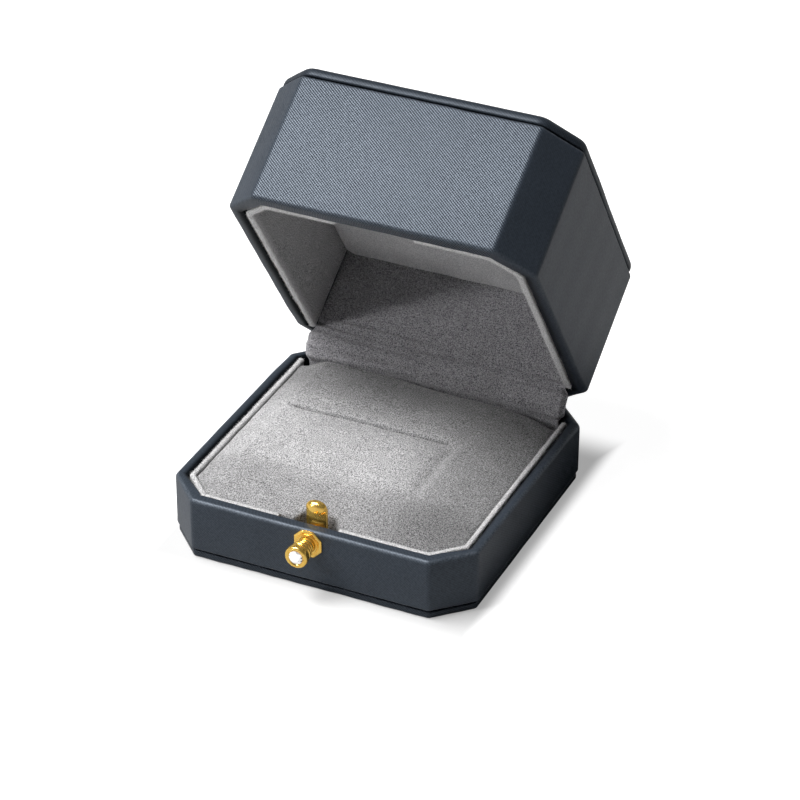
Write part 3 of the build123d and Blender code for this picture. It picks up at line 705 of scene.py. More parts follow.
def mix_finishes() -> None:
    """Makes every finish once."""
    recipes = {
        Finish.LEATHER: TwillLeatherette("PU leatherette, twill embossed", "#1F2329", "#373F49", "#6F757D"),
        Finish.SHELL: PlainStuff("ABS, moulded", "#2B2D30", "#34373B", 0.5, 0.01, 0.55),
        Finish.BOARD: PlainStuff("greyboard, rolled", "#77736B", "#8D897F", 0.6, 0.04, 0.9),
        Finish.VELVET: Velveteen("velvet, flocked, pile up", "#555556", "#D8D7D8"),
        # darker copy of the velvet: painted shade on the back panels and the hinge flap
        Finish.VELVET_PAINTED_SHADE: Velveteen("velvet, flocked, painted-on shade", "#5A595D", "#CCCACE"),
        # lighter copy of the velvet: painted light on the lid's ceiling
        Finish.VELVET_PAINTED_LIGHT: Velveteen("velvet, flocked, painted-on light", "#B4B4B6", "#F8F7F8"),
        Finish.FOAM: PlainStuff("PU foam, open cell", "#CFCCC2", "#E6E3DA", 0.6, 0.15, 0.95),
        Finish.GILT: GiltBrass("brass, gold plated", "#FFDC7C", "#F8C04E"),
        Finish.CRYSTAL: CutCrystal("lead crystal, cut", "#FFFFFF", "#4A5058"),
        Finish.ZINC: PlainStuff("steel, zinc plated", "#A8ABAF", "#C2C5C8", 0.4, 0.004, 0.34, 1.0),
        Finish.SPRING: PlainStuff("spring steel, blued", "#4C5058", "#666B74", 0.3, 0.003, 0.3, 1.0),
    }
    for finish, recipe in recipes.items():
        MATERIALS[finish] = recipe.make()


# ---------------------------------------------------------------- grown by rule

def node_group(name: str, inputs: dict[str, str]) -> tuple[bpy.types.NodeTree, bpy.types.Node]:
    """Geometry node group with a mesh in, a mesh out and named inputs.

    Args:
        name: the group's name.
        inputs: socket type of each further input, by label.
    Returns:
        The group and its input node.
    """
    tree = bpy.data.node_groups.new(name, "GeometryNodeTree")
    tree.interface.new_socket("Geometry", in_out="INPUT", socket_type="NodeSocketGeometry")
    for label, kind in inputs.items():
        tree.interface.new_socket(label, in_out="INPUT", socket_type=kind)
    tree.interface.new_socket("Geometry", in_out="OUTPUT", socket_type="NodeSocketGeometry")
    return tree, add_node(tree, "NodeGroupInput")


def grown(piece: bpy.types.Object, tree: bpy.types.NodeTree, values: dict[str, Any]) -> None:
    """Runs a node group on the piece and keeps the result as its plain mesh.

    Args:
        piece: the object, whose mesh is replaced.
        tree: the group.
        values: value of each named input.
    """
    grow = piece.modifiers.new(tree.name, "NODES")
    grow.node_group = tree
    for item in tree.interface.items_tree:
        if item.item_type == "SOCKET" and item.in_out == "INPUT" and item.name in values:
            grow[item.identifier] = values[item.name]
    view = bpy.context.evaluated_depsgraph_get()
    mesh = bpy.data.meshes.new_from_object(piece.evaluated_get(view), depsgraph=view)
    piece.modifiers.remove(grow)
    piece.data = mesh
    mesh.name = piece.name
    mesh.polygons.foreach_set("material_index", np.zeros(len(mesh.polygons), np.int32))


@dataclass(frozen=True)
class EdgeFuzz:
    """Fibres of the flock that stand out along a card's cut edge, where its white edge mark is high; the
    white is partly painted sheen.
    """

    density: float = 24.0      # fibres on each square millimetre
    length: float = 0.42
    thick: float = 0.035
    seed: int = 5

    def group(self) -> bpy.types.NodeTree:
        """Builds the node group: scatter on the white-edged faces, tilt, scale, realize and dress."""
        tree, given = node_group("edge_fuzz", {"Density": "NodeSocketFloat", "Length": "NodeSocketFloat",
                                               "Thickness": "NodeSocketFloat", "Seed": "NodeSocketInt",
                                               "Pale": "NodeSocketFloat", "Pile": "NodeSocketMaterial"})
        lit_and_pale_edges = add_node(tree, "GeometryNodeInputNamedAttribute", {"Name": "pale_edge_and_highlight"}, data_type="FLOAT")
        edge = add_node(tree, "FunctionNodeCompare", {0: lit_and_pale_edges.outputs[0], 1: given.outputs["Pale"]},
                        data_type="FLOAT",
                        operation="GREATER_THAN")
        roots = add_node(tree, "GeometryNodeDistributePointsOnFaces",
                         {"Mesh": given.outputs["Geometry"], "Selection": edge.outputs[0],
                          "Density": given.outputs["Density"], "Seed": given.outputs["Seed"]})
        fibre = add_node(tree, "GeometryNodeMeshCone",
                         {"Vertices": 3, "Radius Top": 0.0, "Radius Bottom": given.outputs["Thickness"],
                          "Depth": given.outputs["Length"]})
        tilt = add_node(tree, "FunctionNodeRandomValue", {0: (-0.8, -0.8, -3.1), 1: (0.8, 0.8, 3.1),
                                                          "Seed": given.outputs["Seed"]},
                                                          data_type="FLOAT_VECTOR")
        lean = add_node(tree, "FunctionNodeRotateRotation",
                        {0: roots.outputs["Rotation"], 1: tilt.outputs[0]},
                        rotation_space="LOCAL")
        size = add_node(tree, "FunctionNodeRandomValue", {2: 0.45, 3: 1.15, "Seed": given.outputs["Seed"]},
                        data_type="FLOAT")
        pile = add_node(tree, "GeometryNodeInstanceOnPoints",
                        {"Points": roots.outputs["Points"], "Instance": fibre.outputs["Mesh"],
                         "Rotation": lean.outputs[0], "Scale": size.outputs[1]})
        # the fibres take the card edge's white: raised fibres and painted sheen
        pale = add_node(tree, "GeometryNodeStoreNamedAttribute",
                        {"Geometry": add_node(tree, "GeometryNodeRealizeInstances",
                                              {"Geometry": pile.outputs[0]}).outputs[0],
                         "Name": "pale_edge_and_highlight", "Value": given.outputs["Pale"]}, data_type="FLOAT", domain="POINT")
        dressed = add_node(tree, "GeometryNodeSetMaterial", {"Geometry": pale.outputs[0],
                                                             "Material": given.outputs["Pile"]})
        both = add_node(tree, "GeometryNodeJoinGeometry", {0: given.outputs["Geometry"]})
        tree.links.new(dressed.outputs[0], both.inputs[0])
        add_node(tree, "NodeGroupOutput", {0: both.outputs[0]})
        return tree

    def grow(self, piece: bpy.types.Object, finish: Finish, pale: float) -> None:
        """Grows fibres of this paleness on the piece."""
        grown(piece, self.group(), {"Density": self.density / MM ** 2, "Length": self.length * MM,
                                    "Thickness": self.thick * MM, "Seed": self.seed,
                                    "Pale": pale, "Pile": MATERIALS[finish]})


@dataclass(frozen=True)
class RivetRow:
    """Domed rivets on a line across the box, one at each place, made by one node group."""

    name: str
    body: str
    places: tuple[float, ...]
    face: float                # y of the plate's face, that the heads sit on
    height: float
    into: float                # which way the shanks run: +1 to the back, -1 to the front
    shank: float
    head: float = 0.9
    dome: float = 0.35
    bore: float = 0.5

    def group(self) -> bpy.types.NodeTree:
        """Builds the node group: a head and a shank on every point, realized and dressed."""
        tree, given = node_group("rivet_row", {"Head": "NodeSocketFloat", "Dome": "NodeSocketFloat",
                                               "Bore": "NodeSocketFloat", "Shank": "NodeSocketFloat",
                                               "Turn": "NodeSocketFloat", "Metal": "NodeSocketMaterial"})
        ball = add_node(tree, "GeometryNodeMeshUVSphere", {"Segments": 32, "Rings": 16, "Radius": 1.0})
        flat = add_node(tree, "ShaderNodeCombineXYZ", {0: given.outputs["Head"], 1: given.outputs["Dome"],
                                                       2: given.outputs["Head"]})
        head = add_node(tree, "GeometryNodeTransform",
                        {"Geometry": ball.outputs[0], "Scale": flat.outputs[0]})
        length = add_node(tree, "ShaderNodeMath", {0: given.outputs["Shank"]}, operation="ABSOLUTE")
        bar = add_node(tree, "GeometryNodeMeshCylinder", {"Vertices": 32, "Radius": given.outputs["Bore"],
                                                          "Depth": length.outputs[0]})
        middle = add_node(tree, "ShaderNodeMath", {0: given.outputs["Shank"], 1: 0.5}, operation="MULTIPLY")
        back = add_node(tree, "ShaderNodeCombineXYZ", {1: middle.outputs[0]})
        stem = add_node(tree, "GeometryNodeTransform",
                        {"Geometry": bar.outputs[0], "Translation": back.outputs[0],
                                                        "Rotation": (math.pi / 2, 0.0, 0.0)})
        rivet = add_node(tree, "GeometryNodeJoinGeometry", {0: head.outputs[0]})
        tree.links.new(stem.outputs[0], rivet.inputs[0])
        turn = add_node(tree, "ShaderNodeCombineXYZ", {0: given.outputs["Turn"]})
        row = add_node(tree, "GeometryNodeInstanceOnPoints", {"Points": given.outputs["Geometry"],
                                                              "Instance": rivet.outputs[0],
                                                              "Rotation": turn.outputs[0]})
        real = add_node(tree, "GeometryNodeRealizeInstances", {"Geometry": row.outputs[0]})
        dressed = add_node(tree, "GeometryNodeSetMaterial", {"Geometry": real.outputs[0],
                                                             "Material": given.outputs["Metal"]})
        add_node(tree, "NodeGroupOutput", {0: dressed.outputs[0]})
        return tree

    def build(self) -> None:
        """Makes and reports the row."""
        points = np.array([(x, self.face, self.height) for x in self.places])
        opened = self.body == "lid"
        mesh = bpy.data.meshes.new(self.name)
        mesh.from_pydata(((PLAN.opened(points) if opened else points) * MM).tolist(), [], [])
        piece = bpy.data.objects.new(self.name + "_zinc", mesh)
        bpy.context.scene.collection.objects.link(piece)
        grown(piece, self.group(), {"Head": self.head * MM, "Dome": self.dome * MM, "Bore": self.bore * MM,
                                    "Shank": self.into * self.shank * MM,
                                    "Turn": -math.radians(PLAN.open_degrees) if opened else 0.0,
                                    "Metal": MATERIALS[Finish.ZINC]})
        sharpen(piece.data, 40.0)
        Finish.ZINC.dress(piece)
        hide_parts(self.name)
        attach(piece, self.body)
        report(piece)


# ---------------------------------------------------------------- leather shells

def leather_ring(name: str, front: Sequence[Corner], side: Sequence[Corner], back: Sequence[Corner],
                 opened: bool, seed: int, weave: tuple[float, float]) -> bpy.types.Object:
    """Sheet of leatherette swept round the plan.

    Args:
        name: the piece's name.
        front: cross-section at the front.
        side: cross-section at the sides, with as many corners.
        back: cross-section at the back, with as many corners.
        opened: the piece turns with the lid.
        seed: picks the unevenness.
        weave: how plainly the twill shows on the front panel and elsewhere.
    Returns:
        The piece.
    """
    (near, lit_and_pale_edges), (beside, _), (far, _) = (section(corners, gap=40.0) for corners in (front, side, back))
    y = PLAN.loop(0.0)[:, 1]
    aside, behind = smooth((y + 31.0) / 5.0), smooth((y - 16.0) / 10.0)
    rows = []
    for a, b, c in zip(near, beside, far):
        shape = [np.column_stack([PLAN.loop(i), np.full(len(y), z)]) for i, z in (a, b, c)]
        rows.append(shape[0] + (shape[1] - shape[0]) * aside[:, None]
                    + (shape[2] - shape[1]) * behind[:, None])
    rows = np.array(rows)
    rows = rows + ripple(rows, 9.0, 0.06, seed)
    # lighter folds: partly scuff, partly painted highlight
    pale_edge_and_highlight = np.repeat(lit_and_pale_edges[:, None], rows.shape[1], axis=1)
    piece = lofted(name, PLAN.opened(rows) if opened else rows, pale_edge_and_highlight=pale_edge_and_highlight, downward=opened)
    mark(piece.data, "weave", np.repeat(PLAN.panels(*weave)[None, :], rows.shape[0], axis=0))
    # painted shade in the fold turned in at the sides
    mark(piece.data, "painted_shade", smooth((beside[:, 0] - 1.3) / 0.8)[:, None] * aside[None, :])
    return piece


@dataclass(frozen=True)
class BaseCase:
    """Leather-covered tray of the box, and the wrapped board that it stands on."""

    low: float = 2.0
    rim: float = 13.4
    wall: float = 2.0
    skin: float = 0.5
    turn_in: float = 8.0
    plinth: float = 3.0
    edge: float = 0.35
    rim_front: float = 0.8
    rim_back: float = 1.3
    notch_half: float = 17.8
    notch_low: float = 12.0
    bush: float = 2.0
    button_z: float = 10.55
    foot_top: float = 1.45
    foot_inset: float = 0.4
    foot_dark: float = 0.30    # painted darker than the walls, to match the photograph's tone
    board_skin: float = 0.4

    def corners(self, fold: float, turn: float) -> list[Corner]:
        """Cross-section of the leather, with the radii of its rim's outer fold and of its turn inwards."""
        inner = self.wall + self.skin
        return [
            Corner(self.plinth, self.low, 0.05),
            Corner(0.0, self.low, self.edge, 0.35),
            Corner(0.0, self.rim, fold, 0.5),
            Corner(inner, self.rim, turn, 0.15),
            Corner(inner, self.rim - self.turn_in, 0.05),
            Corner(self.wall, self.rim - self.turn_in, 0.05),
            Corner(self.wall, self.rim - self.skin, 0.1),
            Corner(self.skin, self.rim - self.skin, max(fold - self.skin, 0.1)),
            Corner(self.skin, self.low + self.skin, 0.2),
            Corner(self.plinth, self.low + self.skin, 0.05),
        ]

    def wrap(self) -> bpy.types.Object:
        """Leather over the tray, with the hinge notch and the hole for the catch."""
        piece = leather_ring("base_leather", self.corners(self.rim_front, 0.4),
                             self.corners(self.rim_front, 1.2),
                             self.corners(self.rim_back, 0.9), False, 3, (0.22, 0.15))
        half = PLAN.width / 2
        cut_away(piece, slab((-self.notch_half, 28.5, self.notch_low), (self.notch_half, half + 1,
                                                                        self.rim + 1)))
        hole = [(0, -half - 1), (self.bush, -half - 1), (self.bush, -28.5), (0, -28.5)]
        cut_away(piece, turned("tool", hole, self.button_z, 48))
        Finish.LEATHER.dress(piece)
        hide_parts("base_wrap")
        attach(piece, "base")
        return piece

    def foot(self) -> bpy.types.Object:
        """Leather round the board under the box."""
        reach = self.foot_inset + 6.0
        corners = [
            Corner(reach, 0.0, 0.05), Corner(self.foot_inset, 0.0, 0.4, 0.2),
            Corner(self.foot_inset, self.foot_top, 0.4, 0.15), Corner(reach, self.foot_top, 0.05),
            Corner(reach, self.foot_top - 0.1, 0.02),
            Corner(self.foot_inset + self.board_skin, self.foot_top - 0.1, 0.05),
            Corner(self.foot_inset + self.board_skin, self.board_skin, 0.05),
            Corner(reach, self.board_skin, 0.05),
        ]
        shape, lit_and_pale_edges = section(corners, gap=3.0)
        rows = np.array([np.column_stack([PLAN.loop(i, max(1.5 - i, 0.4)), np.full(len(PLAN.loop(i)), z)])
                         for i, z in shape])
        rows[..., :2] += ripple(rows, 8.0, 0.08, 5)[..., :2]
        piece = lofted("foot_leather", rows, pale_edge_and_highlight=np.repeat(lit_and_pale_edges[:, None], rows.shape[1], axis=1))
        mark(piece.data, "weave", np.full(rows.shape[:2], 0.5))
        # painted shade over the whole foot
        mark(piece.data, "painted_shade", np.full(rows.shape[:2], self.foot_dark))
        Finish.LEATHER.dress(piece)
        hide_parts("base_board_wrap")
        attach(piece, "base")
        return piece

    def build(self) -> None:
        """Makes and reports the pieces."""
        for piece in (self.wrap(), self.foot()):
            report(piece)


@dataclass(frozen=True)
class LidCase:
    """Leather-covered lid and the padded-edge board on top of it, drawn shut."""

    rim: float = 13.5
    high: float = 41.3
    wall: float = 2.7
    skin: float = 0.5
    turn_in: float = 8.0
    plinth: float = 3.0
    edge: float = 0.7
    rim_front: float = 0.8
    rim_back: float = 1.3
    notch_half: float = 17.8
    notch_high: float = 14.7
    keeper_half: float = 5.0
    keeper_back: float = -31.0
    keeper_top: float = 20.0
    top_low: float = 41.6
    top_high: float = 44.0
    top_inset: float = 0.3
    top_soft: float = 4.0      # rounding of the top board's corners
    top_dark: float = 0.42     # painted darker than the walls, to match the photograph's tone
    top_heart: float = 6.0     # inset at which the board's rounded edge ends
    top_rings: tuple[float, ...] = (8.0, 11.5)  # the plan's corner cuts cross over past 12.2

    def corners(self, fold: float, turn: float) -> list[Corner]:
        """Cross-section of the leather, with the radii of its rim's outer fold and of its turn inwards."""
        inner = self.wall + self.skin
        return [
            Corner(self.plinth, self.high, 0.05),
            Corner(0.0, self.high, self.edge, 0.35),
            Corner(0.0, self.rim, fold, 0.25),
            Corner(inner, self.rim, turn, 0.2),
            Corner(inner, self.rim + self.turn_in, 0.05),
            Corner(self.wall, self.rim + self.turn_in, 0.05),
            Corner(self.wall, self.rim + self.skin, 0.1),
            Corner(self.skin, self.rim + self.skin, max(fold - self.skin, 0.1)),
            Corner(self.skin, self.high - self.skin, 0.2),
            Corner(self.plinth, self.high - self.skin, 0.05),
        ]

    def wrap(self) -> bpy.types.Object:
        """Leather over the lid, with the hinge notch and the seat of the keeper."""
        piece = leather_ring("lid_leather", self.corners(self.rim_front, 0.5),
                             self.corners(self.rim_front, 1.3),
                             self.corners(self.rim_back, 0.9), True, 7, (1.0, 0.12))
        half = PLAN.width / 2
        cut_away(piece, slab((-self.notch_half, 28.5, self.rim - 1), (self.notch_half, half + 1,
                                                                      self.notch_high), True))
        cut_away(piece, slab((-self.keeper_half, self.keeper_back, self.rim + 0.55),
                             (self.keeper_half, -26.0, self.keeper_top), True))
        Finish.LEATHER.dress(piece)
        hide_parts("lid_wrap")
        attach(piece, "lid")
        return piece

    def top(self) -> bpy.types.Object:
        """Leather over the board on the lid, slightly pillowed at its edge."""
        heart = self.top_heart
        shape, lit_and_pale_edges = section([Corner(heart, self.top_low), Corner(self.top_inset, self.top_low, 0.4, 0.1),
                               Corner(self.top_inset, self.top_high, 1.8, 0.1),
                               Corner(heart, self.top_high)],
                              steps=8, gap=1.6)
        stop = int(np.argmax((shape[:, 0] > heart - 0.1) & (shape[:, 1] > self.top_high - 0.3)))
        rows = [np.column_stack([PLAN.loop(i, max(self.top_soft - i, 0.4)), np.full(len(PLAN.loop(i)), z)])
                for i, z in shape[3:stop]]
        rows += [np.column_stack([PLAN.loop(i), np.full(len(PLAN.loop(i)), self.top_high)])
                 for i in self.top_rings]
        rows = np.array(rows)
        pale_edge_and_highlight = np.concatenate([lit_and_pale_edges[3:stop], np.zeros(len(self.top_rings))])
        rows = rows + ripple(rows, 12.0, 0.05, 11)
        piece = lofted("lid_top_leather", PLAN.opened(rows), tube=False, cap_rows=True,
                       pale_edge_and_highlight=np.repeat(pale_edge_and_highlight[:, None], rows.shape[1], axis=1))
        mark(piece.data, "weave", np.full(rows.shape[:2], 0.3))
        # painted shade over the whole top board
        mark(piece.data, "painted_shade", np.full(rows.shape[:2], self.top_dark))
        Finish.LEATHER.dress(piece)
        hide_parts("top_board_wrap", "top_board")
        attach(piece, "lid")
        return piece

    def build(self) -> None:
        """Makes and reports the pieces."""
        for piece in (self.wrap(), self.top()):
            report(piece)


# ---------------------------------------------------------------- velvet lining

@dataclass(frozen=True)
class Lining:
    """Velvet-covered card inside a wall, open at the back and notched at the front."""

    name: str
    node: str
    body: str
    inset: float
    card: float
    edge: float                # height of the card's free edge
    far: float                 # height of its hidden edge
    notch: tuple[float, float]
    notch_to: float
    back: float
    opened: bool
    soft: float = 0.4
    # white of the card's edge: raised fibres and painted sheen; set lower on the base as painted shade
    pale: float = 1.0          # how far the flock along the edge turns white

    def build(self) -> bpy.types.Object:
        """Makes and reports the piece."""
        sign = 1.0 if self.edge > self.far else -1.0
        pile = 0.42
        corners = [
            Corner(self.inset, self.far, 0.05), Corner(self.inset, self.edge, pile),
            Corner(self.inset + self.card, self.edge, pile), Corner(self.inset + self.card, self.far, 0.05),
        ]
        shape, _ = section(corners, steps=6, gap=1.5)
        run = PLAN.lined_run()
        rows = []
        for i, z in shape:
            plan = PLAN.loop(i, max(self.soft, PLAN.corner_soft - i))[run]
            rows.append(np.column_stack([plan, np.full(len(plan), z)]))
        rows = np.array(rows)
        rows[..., 1] = np.where(rows[..., 1] > 20.0, 20.0 + (rows[..., 1] - 20.0)
                                * (self.back - 20.0) / (rows[:, :1, 1] - 20.0), rows[..., 1])
        x = rows[..., 0]
        inside = smooth((x - self.notch[0] + 0.4) / 1.1) * smooth((self.notch[1] + 0.4 - x) / 1.1)
        inside = np.where(rows[..., 1] < -24.0, inside, 0.0)
        ceiling = self.edge + (self.notch_to - self.edge) * inside
        over = (rows[..., 2] - ceiling) * sign > 0
        depth = (rows[..., 2] - self.edge) * sign
        rows[..., 2] = np.where(over, ceiling + sign * np.maximum(depth, -0.45), rows[..., 2])
        rows = rows + ripple(rows, 3.0, 0.05, 13) + ripple(rows, 11.0, 0.07, 17)
        # white along the card's edge: raised fibres and painted sheen
        near = 1.0 - smooth((np.abs(shape[:, 1] - self.edge) - 0.15) / 0.5)
        pale_edge_and_highlight = np.repeat(near[:, None], rows.shape[1], axis=1) * self.pale
        piece = lofted(self.name, PLAN.opened(rows) if self.opened else rows, ring=False, degrees=60,
                       pale_edge_and_highlight=pale_edge_and_highlight)
        EdgeFuzz().grow(piece, Finish.VELVET, self.pale * 0.6)
        Finish.VELVET.dress(piece)
        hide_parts(self.node)
        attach(piece, self.body)
        report(piece)
        return piece


@dataclass(frozen=True)
class RingPad:
    """Velvet-covered foam cushion with the bar that grips the ring, as one stretched cover."""

    inset: float = 3.85
    foot: float = 5.6
    edge: float = 12.8         # height at the collar
    back: float = 23.4
    crest: float = 15.2
    left_crest: float = -22.4
    slot: tuple[float, float, float] = (-21.5, 13.5, 4.6)
    bar: tuple[float, float, float, float] = (-21.6, 15.0, -15.2, 5.0)
    columns: int = 150
    rows: int = 150
    puff: float = 0.8          # furthest that the foam may push the cover out
    pressure: float = 4.0      # of the foam, in the cloth simulation
    trial_frames: int = 20
    gap: float = 1.2           # between the cushion and the flap, towards the right
    dark_right: float = 0.42   # greatest painted darkening towards the right, the back and the front
    dark_back: float = 0.45
    dark_front: float = 0.27

    def half_at(self, y: np.ndarray) -> np.ndarray:
        """Half width of the cushion at each y."""
        half = PLAN.width / 2 - self.inset
        start = half - PLAN.leg(self.inset)
        return half - np.clip(np.abs(y) - start, 0, None)

    def form(self, x: np.ndarray, y: np.ndarray) -> np.ndarray:
        """Height of the foam under the cover."""
        half = PLAN.width / 2 - self.inset
        left = smooth((x + half) / (half + self.left_crest + 0.6)) ** 0.8
        right = smooth((half - x) / 11.5) ** 0.62
        front = smooth((y + half) / 12.0) ** 0.6
        diagonal = smooth((2 * half - PLAN.leg(self.inset) - (x - y)) / 7.0) ** 0.7
        slant = smooth((2 * half - PLAN.leg(self.inset) - (-x - y)) / 6.0) ** 0.7
        corner = smooth((half + self.back + 1.0 - (x + y)) / 7.0) ** 0.6
        corner_left = smooth((half + self.back - 0.6 - (-x + y)) / 6.0) ** 0.6
        rise = left * right * front * diagonal * slant * corner * corner_left
        return self.edge + (self.crest - self.edge) * rise

    def swell(self, x: np.ndarray, y: np.ndarray) -> np.ndarray:
        """How far the foam pushes the stretched cover out, by cloth simulation.

        Args:
            x: places across, in mm.
            y: places from front to back, in mm.
        Returns:
            Height to add at each place, in mm.
        """
        across, deep, scale = 46, 44, 10 * MM
        gy = np.linspace(-(PLAN.width / 2 - self.inset), self.back, deep)
        grid = np.array([[[s * self.half_at(v), v] for s in np.linspace(-1, 1, across)] for v in gy])
        z = self.form(grid[..., 0], grid[..., 1])
        top = np.dstack([grid, z]).reshape(-1, 3)
        rim = list(range(across)) + [r * across + across - 1 for r in range(1, deep)]
        rim += [(deep - 1) * across + i for i in range(across - 2, -1, -1)]
        rim += [r * across for r in range(deep - 2, 0, -1)]
        under = top[rim].copy()
        under[:, 2] = self.foot
        points = np.concatenate([top, under])
        faces = [(r * across + c, r * across + c + 1, (r + 1) * across + c + 1, (r + 1) * across + c)
                 for r in range(deep - 1) for c in range(across - 1)]
        base, count = len(top), len(rim)
        faces += [(rim[i], rim[(i + 1) % count], base + (i + 1) % count, base + i) for i in range(count)]
        faces.append([base + i for i in range(count)])
        cloth_piece = solid("pad_cover_trial", points * (scale / MM), faces)
        pins = cloth_piece.vertex_groups.new(name="held")
        flat = grid.reshape(-1, 2)
        left, right, front, back = self.bar
        near = ((np.abs(flat[:, 1] - self.slot[2]) < 0.7) & (flat[:, 0] > self.slot[0])
                & (flat[:, 0] < self.slot[1]))
        seam = ((np.abs(flat[:, 0] - right) < 0.7) & (flat[:, 1] > front) & (flat[:, 1] < back))
        seam |= (np.abs(flat[:, 1] - front) < 0.7) & (flat[:, 0] > left) & (flat[:, 0] < right)
        held = set(np.nonzero(near)[0].tolist()) | set(rim) | set(range(base, base + count))
        pins.add(sorted(held), 1.0, "REPLACE")
        pins.add(sorted(set(np.nonzero(seam)[0].tolist()) - held), 0.7, "REPLACE")
        cloth = cloth_piece.modifiers.new("cover", "CLOTH")
        cloth.settings.effector_weights.gravity = 0.0
        cloth.settings.vertex_group_mass = "held"
        cloth.settings.use_pressure = True
        cloth.settings.uniform_pressure_force = self.pressure
        cloth.settings.tension_stiffness = cloth.settings.compression_stiffness = 20.0
        cloth.settings.bending_stiffness = 2.0
        scene = bpy.context.scene
        for step in range(1, self.trial_frames + 1):
            scene.frame_set(step)
        view = bpy.context.evaluated_depsgraph_get()
        shaped = bpy.data.meshes.new_from_object(cloth_piece.evaluated_get(view), depsgraph=view)
        place = np.zeros(len(shaped.vertices) * 3)
        shaped.vertices.foreach_get("co", place)
        place = place.reshape(-1, 3)[:base] / scale
        lift = np.clip(place[:, 2] - top[:, 2], -0.2, self.puff).reshape(deep, across)
        log.info("pad cover swells %.2f mm at most", lift.max())
        bpy.data.objects.remove(cloth_piece)
        scene.frame_set(1)
        v = np.clip((np.asarray(y) - gy[0]) / (gy[-1] - gy[0]) * (deep - 1), 0, deep - 1.001)
        u = np.clip((np.asarray(x) / self.half_at(np.asarray(y)) + 1) / 2 * (across - 1), 0, across - 1.001)
        r, c = v.astype(int), u.astype(int)
        fv, fu = v - r, u - c
        return ((lift[r, c] * (1 - fu) + lift[r, c + 1] * fu) * (1 - fv)
                + (lift[r + 1, c] * (1 - fu) + lift[r + 1, c + 1] * fu) * fv)

    def details(self, x: np.ndarray, y: np.ndarray) -> np.ndarray:
        """Slit, sunk line round the bar and the rolled back edge, as height to add."""
        left, right, front, back = self.bar
        start, stop, line = self.slot
        over = smooth((x - start) / 1.5) * smooth((stop - x) / 2.0)
        slit = (-3.2 * over * np.exp(-((y - line) / 0.30) ** 2)
                - 0.12 * over * np.exp(-((y - line) / 0.8) ** 2))
        along_y = smooth((y - front + 1.5) / 3.0) * smooth((back - y + 0.5) / 3.0)
        side = along_y * (-0.34 * np.exp(-((x - right + 0.9) / 1.0) ** 2)
                          + 0.26 * np.exp(-((x - right - 1.2) / 1.1) ** 2))
        along_x = smooth((x - left + 1.5) / 4.0) * smooth((right - x + 1.0) / 3.0)
        fore = along_x * (-0.16 * np.exp(-((y - front) / 1.2) ** 2)
                          + 0.10 * np.exp(-((y - front - 2.2) / 1.2) ** 2))
        roll = (0.22 * np.exp(-((y - self.back + 1.0) / 0.42) ** 2)
                - 0.10 * np.exp(-((y - self.back + 2.1) / 0.7) ** 2))
        crest = 0.16 * np.exp(-((x - self.left_crest) / 0.8) ** 2) * smooth((y + 20) / 6.0)
        return slit + side + fore + roll * smooth((x + 23) / 4) * smooth((24.5 - x) / 4) + crest

    def painted(self, x: np.ndarray, y: np.ndarray) -> np.ndarray:
        """Darkening that is painted on the cover, fitted to the photograph's tone.

        It stands in for shade that the form and the lamps don't give, and stays under other light.
        What darkens the real cushion there isn't known. With the three shares at 0 there is none.

        Args:
            x: places across, in mm.
            y: places from front to back, in mm.
        Returns:
            The share of the colour that is taken away at each place.
        """
        to_right = self.dark_right * smooth((x - 3.0) / 18.0)
        to_back = self.dark_back * smooth((y - 1.0) / 17.0) * (1 - 0.5 * smooth(x / 22.0))
        to_front = self.dark_front * smooth((-13.0 - y) / 8.0)
        return 1 - (1 - to_right) * (1 - to_back) * (1 - to_front)

    def build(self) -> bpy.types.Object:
        """Makes and reports the cushion."""
        half = PLAN.width / 2 - self.inset
        y = -half + (self.back + half) * np.linspace(0, 1, self.rows)
        line, width = self.slot[2], 0.9
        y = np.sort(np.concatenate([y[np.abs(y - line) > width], line + np.linspace(-width, width, 19)]))
        s = np.linspace(-1, 1, self.columns)
        s = np.sign(s) * (1 - (1 - np.abs(s)) ** 1.15)
        grid_y = np.repeat(y[:, None], self.columns, axis=1)
        grid_x = s[None, :] * self.half_at(grid_y)
        bay = smooth((5.4 - np.abs(grid_x)) / 2.6) * smooth((-21.5 - grid_y) / 7.0)
        grid_y = grid_y + bay * 2.3
        drawn = smooth((grid_x + 16.0) / 24.0) * self.gap
        grid_y = grid_y - drawn * smooth((grid_y - 14.0) / 9.0)
        z = self.form(grid_x, grid_y) + self.swell(grid_x, grid_y) + self.details(grid_x, grid_y)
        behind = self.back - drawn - grid_y
        rim_soft = np.minimum.reduce([
            (self.half_at(grid_y) - np.abs(grid_x)), grid_y - (-half + bay * 2.3), behind])
        z = z - 0.45 * rounded(rim_soft, 0.9) - 1.5 * rounded(behind, 1.7)
        top = np.dstack([grid_x, grid_y, z])
        top = (top + ripple(top, 7.0, 0.08, 23) * np.array([0, 0, 1])
               + ripple(top, 2.2, 0.03, 29) * np.array([0, 0, 1]))
        rows, columns = z.shape
        number = np.arange(rows * columns).reshape(rows, columns)
        rim = np.concatenate([number[0], number[1:, -1], number[-1, -2::-1], number[-2:0:-1, 0]])
        flat = top.reshape(-1, 3)
        points = [flat]
        faces = [(number[r, c], number[r, c + 1], number[r + 1, c + 1], number[r + 1, c])
                 for r in range(rows - 1) for c in range(columns - 1)]
        last, total, count = rim, len(flat), len(rim)
        for drop in (0.3, 0.65, 1.0):
            ring = flat[rim].copy()
            ring[:, 2] = ring[:, 2] + (self.foot - ring[:, 2]) * drop
            points.append(ring)
            new = np.arange(total, total + count)
            faces += [(last[i], last[(i + 1) % count], new[(i + 1) % count], new[i]) for i in range(count)]
            last, total = new, total + count
        faces.append(last.tolist())
        placed = np.concatenate(points)
        piece = solid("ring_pad", placed, faces, degrees=75)
